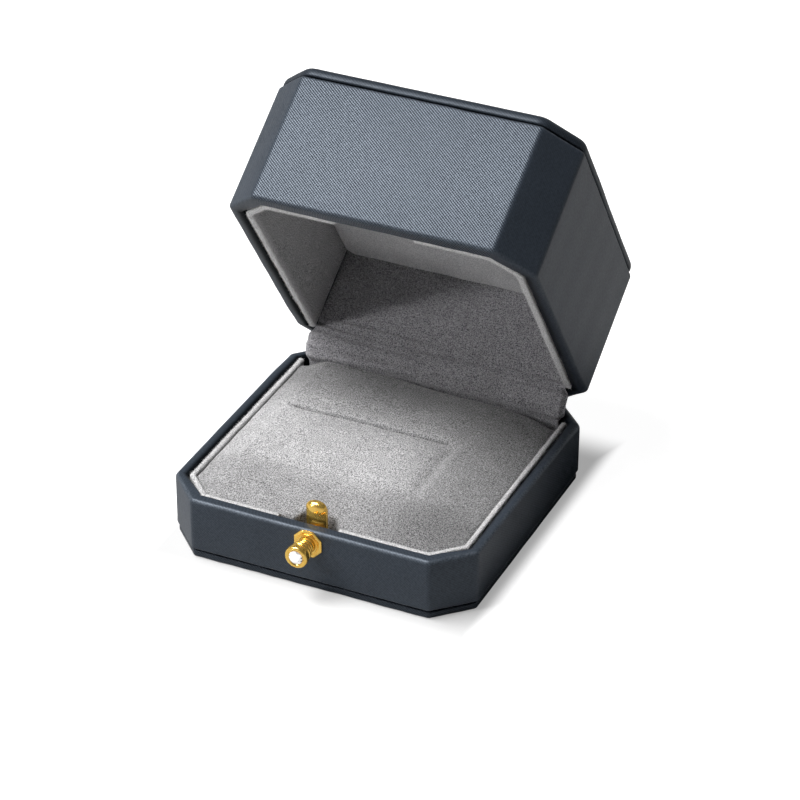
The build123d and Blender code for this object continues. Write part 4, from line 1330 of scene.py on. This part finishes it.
        mark(piece.data, "painted", self.painted(placed[:, 0], placed[:, 1]))
        Finish.VELVET.dress(piece)
        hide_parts("pad_foam", "ring_bar")
        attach(piece, "base")
        report(piece)
        return piece


@dataclass(frozen=True)
class HingeFlap:
    """Velvet flap over the hinge, one cloth with the lid's back panel, creased where it bends."""

    radius: float = 6.55
    thick: float = 0.7
    tail: float = 3.0
    lid_tail: float = 7.5
    half: float = 27.75
    bulge: float = 1.15
    crease: float = 1.8        # scales the depth of every fold
    steps: int = 110
    columns: int = 120

    def build(self) -> bpy.types.Object:
        """Makes and reports the flap."""
        turn = math.radians(PLAN.open_degrees)
        arc = self.radius * turn
        total = self.tail + arc + self.lid_tail
        s = np.linspace(0, total, self.steps)
        t = np.linspace(-1, 1, self.columns)
        t = np.sign(t) * (1 - (1 - np.abs(t)) ** 1.4)
        S, T = np.meshgrid(s, t, indexing="ij")
        bow = S - self.tail
        angle = np.clip(bow / self.radius, 0, turn)
        straight = np.where(bow < 0, bow, np.where(bow > arc, bow - arc, 0.0))
        open_zone = smooth((bow + 0.8) / 1.6) * smooth((arc + 0.6 - bow) / 1.8)
        wide = self.half + self.bulge * open_zone
        X = T * wide
        end = smooth((np.abs(T) - 0.80) / 0.20)
        swell = 0.30 * open_zone * (1 - end) + 0.45 * open_zone * end
        swell = swell - 0.9 * open_zone * smooth((np.abs(T) - 0.965) / 0.035)
        folds = np.zeros_like(S)
        for centre, slope, deep, width in ((arc * 0.30, 0.9, 0.10, 0.55), (arc * 0.55, 0.5, 0.16, 0.50),
                                           (arc * 0.78, -0.2, 0.20, 0.45), (arc * 1.02, -0.7, 0.24, 0.42),
                                           (arc * 1.30, -0.9, 0.14, 0.40)):
            line = centre + slope * T + 0.25 * np.sin(3.1 * T + centre)
            fade = 0.55 + 0.45 * np.sin(5.0 * T + 2.0 * centre)
            folds += self.crease * deep * fade * (np.exp(-((bow - line) / width) ** 2)
                                                  - 0.8 * np.exp(-((bow - line - 1.3 * width) / width) ** 2))
        out = swell + folds * smooth((total - S) / 3.0) * smooth(S / 2.0)
        merge = smooth((S - (total - 4.0)) / 4.0)
        out = out * (1 - merge) + 0.10 * smooth((bow - arc + 0.5) / 2.0) * (1 - merge) - 0.06 * merge
        reach = self.radius + out
        fy = -np.cos(angle) * reach + np.sin(angle) * straight
        fz = np.sin(angle) * reach + np.cos(angle) * straight
        fy = np.where(bow < 0, -reach, fy)
        fz = np.where(bow < 0, straight, fz)
        front = np.dstack([X, PLAN.hinge_y + fy, PLAN.hinge_z + fz])
        back_reach = self.radius - self.thick * (1 - merge) - 0.12 * merge
        by = np.where(bow < 0, -back_reach, -np.cos(angle) * back_reach + np.sin(angle) * straight)
        bz = np.where(bow < 0, straight, np.sin(angle) * back_reach + np.cos(angle) * straight)
        rear = np.dstack([X, PLAN.hinge_y + by, PLAN.hinge_z + bz])
        rows = np.concatenate([front, rear[:, ::-1]], axis=1)
        piece = solid("hinge_velvet", rows.reshape(-1, 3), band_faces(self.steps, self.columns), degrees=60)
        # painted shade: the darker copy of the velvet
        Finish.VELVET_PAINTED_SHADE.dress(piece)
        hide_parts("hinge_flap")
        tip = PLAN.opened(np.array([[0, PLAN.hinge_y - self.radius, PLAN.hinge_z + self.tail]]))[0]
        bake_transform(piece)
        report(piece)
        return piece


@dataclass(frozen=True)
class BackPanel:
    """Velvet-covered card in front of the hinge, in the base or in the lid."""

    name: str
    node: str
    body: str
    low: float
    high: float
    half: float
    opened: bool
    face: float = 24.8
    card: float = 1.1

    def build(self) -> bpy.types.Object:
        """Makes and reports the panel."""
        columns, steps = 80, 30
        x = np.linspace(-self.half, self.half, columns)
        z = np.linspace(self.low, self.high, steps)
        X, Z = np.meshgrid(x, z)
        edge = np.minimum(self.half - np.abs(X), np.minimum(Z - self.low + 1, self.high - Z + 1))
        round_off = 0.3 * rounded(edge, 0.4)
        front = np.dstack([X, self.face + round_off, Z])
        front = front + ripple(front, 9.0, 0.06, 31) * np.array([0, 1, 0])
        rear = np.dstack([X, np.full_like(X, self.face + self.card), Z])
        rows = np.concatenate([front, rear[:, ::-1]], axis=1)
        faces = band_faces(steps, columns)
        points = rows.reshape(-1, 3)
        piece = solid(self.name, PLAN.opened(points) if self.opened else points, faces, degrees=60)
        # painted shade: the darker copy of the velvet
        Finish.VELVET_PAINTED_SHADE.dress(piece)
        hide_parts(self.node)
        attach(piece, self.body)
        report(piece)
        return piece


@dataclass(frozen=True)
class CeilingPad:
    """Padded velvet ceiling of the lid, drawn shut."""

    inset: float = 4.6
    low: float = 31.3
    high: float = 32.6
    back: float = 24.65
    sag: float = 0.45

    def build(self) -> bpy.types.Object:
        """Makes and reports the pad."""
        half = PLAN.width / 2 - self.inset
        columns, steps = 90, 84
        y = np.linspace(-half, self.back, steps)
        s = np.linspace(-1, 1, columns)
        start = half - PLAN.leg(self.inset)
        round_in = 2.6
        wide = half - np.clip(np.abs(y) - start, 0, None)
        wide = wide - rounded(y + half, round_in) * 1.2
        X = s[None, :] * wide[:, None]
        Y = np.repeat(y[:, None], columns, axis=1)
        edge = np.minimum.reduce([wide[:, None] - np.abs(X), Y + half, self.back - Y + 1.0])
        dome = self.sag * smooth(edge / 12.0)
        roll = 0.6 * rounded(edge, 0.9)
        lower = np.dstack([X, Y, self.low + 0.35 - dome + roll])
        lower = lower + ripple(lower, 8.0, 0.10, 37) * np.array([0, 0, 1])
        upper = np.dstack([X, Y, np.full_like(X, self.high)])
        rows = np.concatenate([lower, upper[:, ::-1]], axis=1)
        faces = band_faces(steps, columns)
        piece = solid("lid_ceiling_velvet", PLAN.opened(rows.reshape(-1, 3)), faces, degrees=60)
        # painted light: the lighter copy of the velvet
        Finish.VELVET_PAINTED_LIGHT.dress(piece)
        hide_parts("lid_ceiling_pad")
        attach(piece, "lid")
        report(piece)
        return piece


# ---------------------------------------------------------------- catch

@dataclass(frozen=True)
class PushButton:
    """Gilt catch: octagonal flange, turned button with a stone, and the hook on its stem."""

    height: float = 10.55
    wall: float = 32.5
    flange: float = 3.15
    bore: float = 2.0
    stone: float = 1.45
    front: float = 38.1
    hook_half: float = 2.15
    hook_low: float = 8.35
    ledge: float = 16.2
    hook_back: float = 28.2
    hook_thick: float = 0.8
    nose_front: float = 30.0
    dome: float = 1.75
    hook_bow: float = 0.12
    hook_edge: float = 0.16    # rounding of the plate's upright edges

    def plate(self) -> bpy.types.Object:
        """Octagonal flange with a bevelled rim and a dished face round the neck."""
        angle = np.linspace(0, 2 * math.pi, 128, endpoint=False)
        sector = (angle + math.pi / 8) % (math.pi / 4) - math.pi / 8
        eight = math.cos(math.pi / 8) / np.cos(sector)
        eight = np.minimum(eight, 0.985)
        rows = []
        for radius, depth, facetted in ((2.9, 0.0, 1.0), (3.1, 0.05, 1.0), (3.15, 0.14, 1.0),
                                        (3.15, 0.26, 1.0),
                                        (3.02, 0.38, 1.0), (2.78, 0.47, 0.9), (2.62, 0.50, 0.6),
                                        (2.45, 0.47, 0.2),
                                        (2.30, 0.38, 0.0), (2.18, 0.38, 0.0), (2.12, 0.46, 0.0),
                                        (2.10, 0.56, 0.0),
                                        (2.02, 0.60, 0.0), (self.bore, 0.55, 0.0), (self.bore, 0.0, 0.0)):
            r = radius * (1 + (eight - 1) * facetted)
            rows.append(np.column_stack([r * np.cos(angle), np.full(len(angle), -self.wall - depth),
                                         self.height + r * np.sin(angle)]))
        piece = lofted("catch_flange", np.array(rows), degrees=30)
        Finish.GILT.dress(piece)
        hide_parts("latch_flange")
        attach(piece, "base")
        return piece

    def button(self) -> bpy.types.Object:
        """Turned button: neck, two raised rings with grooves between, and the setting of the stone."""
        rest = self.wall + 0.5
        outline = [(0.0, rest), (1.65, rest), (1.65, rest + 0.95), (1.60, rest + 1.05), (1.42, rest + 1.12),
                   (1.40, rest + 1.22), (1.44, rest + 1.32), (1.72, rest + 1.40), (1.80, rest + 1.52),
                   (1.83, rest + 1.70), (1.80, rest + 1.88), (1.72, rest + 2.00), (1.52, rest + 2.08),
                   (1.48, rest + 2.20), (1.52, rest + 2.32), (1.95, rest + 2.44), (2.10, rest + 2.55),
                   (2.17, rest + 2.72), (2.17, rest + 2.92), (2.10, rest + 3.08), (1.98, rest + 3.16),
                   (1.93, rest + 3.26), (1.96, rest + 3.36), (2.18, rest + 3.48), (2.30, rest + 3.62),
                   (2.35, rest + 3.80), (2.35, self.front - 0.52), (2.33, self.front - 0.34),
                   (2.26, self.front - 0.17), (2.14, self.front - 0.05), (1.98, self.front),
                   (1.80, self.front - 0.02), (1.66, self.front - 0.10), (1.55, self.front - 0.20),
                   (self.stone + 0.03, self.front - 0.24), (self.stone + 0.01, self.front - 0.69),
                   (0.0, self.front - 0.69)]
        piece = turned("push_button", [(r, -y) for r, y in outline], self.height, 96, 50.0)
        Finish.GILT.dress(piece)
        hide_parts("button_head")
        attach(piece, "button")
        return piece

    def crystal(self) -> bpy.types.Object:
        """Round brilliant: table, star, kite and girdle facets, and a low pavilion in the setting."""
        def ring(count: int, radius: float, out: float, turn: float) -> list[tuple[float, float, float]]:
            """Points of one ring of facet corners."""
            return [(self.stone * radius * math.cos(turn + 2 * math.pi * i / count),
                     -self.front + 0.2 - out,
                     self.height + self.stone * radius * math.sin(turn + 2 * math.pi * i / count))
                    for i in range(count)]
        step = math.pi / 8
        table, kite = ring(8, 0.56, 0.50, 0.0), ring(8, 0.80, 0.36, step)
        girdle, belt = ring(16, 0.995, 0.08, 0.0), ring(16, 0.995, 0.0, 0.0)
        lower, culet = ring(8, 0.55, -0.24, 0.0), [(0.0, -self.front + 0.2 + 0.45, self.height)]
        points = table + kite + girdle + belt + lower + culet
        faces: list[tuple[int, ...]] = [tuple(range(8))]
        # painted reflection: how dark each face of the stone is painted
        dark = [0.0]
        for i in range(8):
            n, p = (i + 1) % 8, (i - 1) % 8
            faces.append((i, n, 8 + i))
            dark.append((0.0, 0.10, 0.0, 0.35)[i % 4])
            faces.append((i, 8 + i, 16 + 2 * i, 8 + p))
            dark.append((0.0, 0.0, 0.25, 0.0)[i % 4])
            faces.append((8 + i, 16 + 2 * i, 16 + 2 * i + 1))
            dark.append((0.85, 0.1, 0.0, 0.5)[(i * 3) % 4])
            faces.append((8 + i, 16 + 2 * i + 1, 16 + (2 * i + 2) % 16))
            dark.append((0.0, 0.7, 0.2, 0.9)[(i * 5) % 4])
            faces.append((32 + 2 * i, 32 + 2 * i + 1, 48 + i))
            dark.append(0.4)
            faces.append((32 + 2 * i + 1, 32 + (2 * i + 2) % 16, 48 + n, 48 + i))
            dark.append(0.4)
            faces.append((48 + i, 48 + n, 56))
            dark.append(0.0)
        for i in range(16):
            n = (i + 1) % 16
            faces.append((16 + i, 16 + n, 32 + n, 32 + i))
            dark.append(0.3)
        piece = solid("crystal_stone", np.array(points), faces, degrees=1.0)
        facet = piece.data.attributes.new("facet", "FLOAT", "FACE")
        facet.data.foreach_set("value", np.array(dark, np.float32))
        Finish.CRYSTAL.dress(piece)
        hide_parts("crystal")
        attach(piece, "button")
        return piece

    def hook(self) -> bpy.types.Object:
        """Hook: a plate with a rounded face, and a domed nose that overhangs it."""
        columns = 41
        t = np.linspace(-1, 1, columns)
        x = self.hook_half * np.sin(t * math.pi / 2)
        bow = -self.hook_back - self.hook_thick + 0.1 - self.hook_bow * (1 - (x / self.hook_half) ** 2)
        edge = self.hook_edge * rounded(self.hook_half - np.abs(x), self.hook_edge)
        rows = []
        for z, pull in ((self.hook_low, 0.12), (self.hook_low + 0.12, 0.0), (11.0, 0.0), (13.5, 0.0),
                        (self.ledge - 0.3, 0.0), (self.ledge + 0.2, 0.0)):
            face = np.column_stack([x * (1 - pull / self.hook_half), bow + edge + pull,
                                    np.full(columns, z)])
            rear = np.column_stack([x[::-1] * (1 - pull / self.hook_half),
                                    np.full(columns, -self.hook_back - pull), np.full(columns, z)])
            rows.append(np.concatenate([face, rear]))
        plate = lofted("catch_hook_gilt", np.array(rows), tube=False, cap_rows=True, degrees=40)
        angle = np.linspace(0, 2 * math.pi, 72, endpoint=False)
        middle = -self.hook_back - 0.55
        deep = self.nose_front + middle
        rows = []
        for lift, shrink in [(0.0, 0.93), (0.05, 0.985), (0.14, 1.0), (0.30, 1.0)] + [
                (0.30 + (self.dome - 0.30) * math.sin(a), math.cos(a) ** 0.92)
                for a in np.linspace(0, math.pi / 2, 16)[1:-1]]:
            px = self.hook_half * shrink * np.sign(np.cos(angle)) * np.abs(np.cos(angle)) ** 0.88
            py = middle - deep * shrink * np.sin(angle)
            py = np.minimum(py, -self.hook_back + 0.02)
            share = 1.0 if lift < 0.2 else max(0.0, 1 - lift)
            droop = -0.28 * np.clip(np.sin(angle), 0, 1) * (1 - (px / self.hook_half) ** 2) * share
            rows.append(np.column_stack([px, py, self.ledge + lift + droop]))
        nose = lofted("nose", np.array(rows), tube=False, cap_rows=True, degrees=40)
        work = bmesh.new()
        work.from_mesh(plate.data)
        work.from_mesh(nose.data)
        work.to_mesh(plate.data)
        work.free()
        bpy.data.objects.remove(nose)
        Finish.GILT.dress(plate)
        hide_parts("catch_hook")
        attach(plate, "button")
        return plate

    def build(self) -> None:
        """Makes and reports the pieces."""
        for piece in (self.plate(), self.button(), self.crystal(), self.hook()):
            report(piece)


# ---------------------------------------------------------------- carried-over nodes

CARRIED = {
    Finish.SHELL: ("base_shell", "lid_shell"),
    Finish.BOARD: ("base_board", "pad_board", "lid_ceiling_board"),
    Finish.FOAM: ("lid_packing",),
    Finish.GILT: ("latch_bush", "button_stem"),
    Finish.ZINC: ("hinge_base_leaf", "hinge_lid_leaf", "hinge_pin", "keeper_plate", "latch_nut"),
    Finish.SPRING: ("hinge_spring", "button_spring"),
}


def dress_nodes() -> None:
    """Gives the CAD nodes that keep their shape their finishes."""
    for finish, names in CARRIED.items():
        for name in names:
            finish.dress(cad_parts[name])
            log.info("%s: %s", name, finish.name)


# ---------------------------------------------------------------- studio

@dataclass(frozen=True)
class Studio:
    """White table, soft light and the photograph's camera.

    The lamp levels and the table's tones are fitted to the photograph. The table fades the box's
    shadow to white with distance, at places fixed round the box's plan.
    """

    azimuth: float = 24.67
    elevation: float = 31.97
    roll: float = 0.22
    target: tuple[float, float, float] = (3.54, 1.62, 24.49)
    distance: float = 679.78
    focal: float = 3460.69     # in pixels of an 800 pixel wide picture
    picture: float = 800.0
    sensor: float = 36.0
    key_from: tuple[float, float, float] = (-0.567, -0.676, 0.469)
    key_level: float = 0.25
    top_from: tuple[float, float, float] = (-0.42, -0.20, 0.90)
    top_level: float = 1.72
    air: float = 0.005
    shade_beside: float = 3.8  # how far from the plan the shadow is faded out at the sides, in mm
    shade_ahead: float = 11.0  # and at the front and back
    key_away: float = 1.4      # distance and width of each lamp, in metres
    key_side: float = 0.16
    top_away: float = 0.9
    top_side: float = 0.52

    def camera(self) -> None:
        """Camera at the photograph's place, with its lens."""
        a, e, r = (math.radians(v) for v in (self.azimuth, self.elevation, self.roll))
        back = Vector((math.sin(a) * math.cos(e), -math.cos(a) * math.cos(e), math.sin(e)))
        right = Vector((0, 0, 1)).cross(back).normalized()
        up = back.cross(right)
        across = right * math.cos(r) + up * math.sin(r)
        above = up * math.cos(r) - right * math.sin(r)
        place = (Vector(self.target) + back * self.distance) * MM
        data = bpy.data.cameras.new("camera")
        data.lens = self.focal / self.picture * self.sensor
        data.sensor_width = self.sensor
        data.clip_start, data.clip_end = 0.05, 20.0
        eye = bpy.data.objects.new("camera", data)
        eye.matrix_world = Matrix.Translation(place) @ Matrix((across, above, back)).transposed().to_4x4()
        bpy.context.scene.collection.objects.link(eye)
        bpy.context.scene.camera = eye

    def lamp(self, name: str, towards: tuple[float, float, float], away: float, side: float,
             level: float) -> None:
        """Square soft lamp aimed at the box.

        Args:
            name: the lamp's name.
            towards: direction from the box to the lamp.
            away: distance in metres.
            side: width in metres.
            level: light on a facing surface; 1 renders a colour as written.
        """
        data = bpy.data.lights.new(name, "AREA")
        data.shape, data.size = "SQUARE", side
        data.energy = level * math.pi ** 2 * away ** 2
        lamp = bpy.data.objects.new(name, data)
        way = Vector(towards).normalized()
        lamp.location = Vector((0, 0.005, 0.03)) + way * away
        lamp.rotation_euler = way.to_track_quat("Z", "Y").to_euler()
        bpy.context.scene.collection.objects.link(lamp)

    def table(self) -> None:
        """Pale table that the camera sees as white where it is lit, with the box's shadow on it."""
        material, tree = new_material("table, white laminate")
        light = add_node(tree, "ShaderNodeLightPath")
        seen = add_node(tree, "ShaderNodeMath", {0: light.outputs["Is Camera Ray"],
                                                 1: light.outputs["Is Transmission Ray"]},
                                                 operation="MAXIMUM")
        spot = add_node(tree, "ShaderNodeTexCoord").outputs["Object"]
        size = add_node(tree, "ShaderNodeVectorMath", {0: spot}, operation="ABSOLUTE")
        half, beside, ahead = PLAN.width / 2 * MM, self.shade_beside * MM, self.shade_ahead * MM
        past = add_node(tree, "ShaderNodeVectorMath", {0: size.outputs[0], 1: (1 / beside, 1 / ahead, 0),
                                                       2: (-half / beside, -half / ahead, 0)},
                        operation="MULTIPLY_ADD")
        parts = add_node(tree, "ShaderNodeSeparateXYZ", {0: past.outputs[0]})
        reach = add_node(tree, "ShaderNodeMath", {0: parts.outputs[0], 1: parts.outputs[1]},
                         operation="MAXIMUM")
        fade = add_node(tree, "ShaderNodeMapRange",
                        {"Value": reach.outputs[0], "To Min": 0.36, "To Max": 0.98},
                        interpolation_type="SMOOTHSTEP")
        near = add_node(tree, "ShaderNodeBsdfDiffuse", {"Color": (0.40, 0.40, 0.40, 1)})
        lift = add_node(tree, "ShaderNodeEmission", {"Color": (1, 1, 1, 1), "Strength": fade.outputs[0]})
        shown = add_node(tree, "ShaderNodeAddShader", {0: near.outputs[0], 1: lift.outputs[0]})
        bounce = add_node(tree, "ShaderNodeBsdfDiffuse", {"Color": (0.48, 0.48, 0.48, 1)})
        both = add_node(tree, "ShaderNodeMixShader", {0: seen.outputs[0], 1: bounce.outputs[0],
                                                      2: shown.outputs[0]})
        add_node(tree, "ShaderNodeOutputMaterial", {"Surface": both.outputs[0]})
        mesh = bpy.data.meshes.new("table")
        reach = 3.0
        mesh.from_pydata([(-reach, -reach, -2e-5), (reach, -reach, -2e-5), (reach, reach, -2e-5),
                          (-reach, reach, -2e-5)], [], [(0, 1, 2, 3)])
        mesh.materials.append(material)
        table = bpy.data.objects.new("table", mesh)
        bpy.context.scene.collection.objects.link(table)

    def surroundings(self) -> None:
        """White background for the camera and for gloss low down, dim light on the box."""
        world = bpy.data.worlds.new("studio")
        world.use_nodes = True
        tree = world.node_tree
        tree.nodes.clear()
        light = add_node(tree, "ShaderNodeLightPath")
        way = add_node(tree, "ShaderNodeTexCoord")
        parts = add_node(tree, "ShaderNodeSeparateXYZ", {0: way.outputs["Generated"]})
        height = add_node(tree, "ShaderNodeMapRange", {"Value": parts.outputs["Z"], "From Min": 0.05,
                                                       "From Max": 0.45, "To Min": 0.60, "To Max": 0.10})
        dim = add_node(tree, "ShaderNodeMix", {0: light.outputs["Is Glossy Ray"], 2: self.air,
                                               3: height.outputs[0]}, data_type="FLOAT")
        seen = add_node(tree, "ShaderNodeMath", {0: light.outputs["Is Camera Ray"],
                                                 1: light.outputs["Is Transmission Ray"]},
                                                 operation="MAXIMUM")
        level = add_node(tree, "ShaderNodeMix", {0: seen.outputs[0], 2: dim.outputs[0], 3: 1.0},
                         data_type="FLOAT")
        back = add_node(tree, "ShaderNodeBackground", {"Color": (1, 1, 1, 1), "Strength": level.outputs[0]})
        add_node(tree, "ShaderNodeOutputWorld", {"Surface": back.outputs[0]})
        bpy.context.scene.world = world

    def build(self) -> None:
        """Sets up the whole studio."""
        self.camera()
        self.table()
        self.surroundings()
        self.lamp("key", self.key_from, self.key_away, self.key_side, self.key_level)
        self.lamp("overhead", self.top_from, self.top_away, self.top_side, self.top_level)
        bpy.context.scene.view_settings.view_transform = "Standard"


def main() -> None:
    """Builds the box piece by piece in its studio."""
    logging.basicConfig(level=logging.INFO, format="%(name)s: %(message)s")
    mix_finishes()
    BaseCase().build()
    LidCase().build()
    # the base's card edge is less white than the lid's: painted shade
    Lining("base_lining", "base_collar", "base", inset=2.62, card=1.1, edge=13.15, far=4.0,
           notch=(-7.3, 4.6), notch_to=7.0, back=24.3, opened=False, pale=0.45).build()
    Lining("lid_lining", "lid_liner", "lid", inset=3.25, card=1.4, edge=13.62, far=34.0,
           notch=(-8.0, 7.2), notch_to=20.3, back=24.65, opened=True, soft=2.4).build()
    BackPanel("base_lining_back", "base_back_panel", "base", low=4.0, high=10.3, half=26.6,
              opened=False).build()
    BackPanel("lid_lining_back", "lid_back_panel", "lid", low=16.45, high=34.0, half=27.9,
              opened=True).build()
    RingPad().build()
    HingeFlap().build()
    CeilingPad().build()
    PushButton().build()
    leaf_rivets, keeper_rivets = (-15.0, 0.0, 15.0), (-3.6, 3.6)
    RivetRow("base_hinge_rivets", "base", leaf_rivets, face=30.4, height=7.95, into=1.0, shank=1.2).build()
    RivetRow("lid_hinge_rivets", "lid", leaf_rivets, face=30.4, height=18.75, into=1.0, shank=1.2).build()
    RivetRow("keeper_rivets", "lid", keeper_rivets, face=-30.5, height=18.4, into=-1.0, shank=1.0).build()
    dress_nodes()
    Studio().build()


if __name__ == "__main__":
    main()
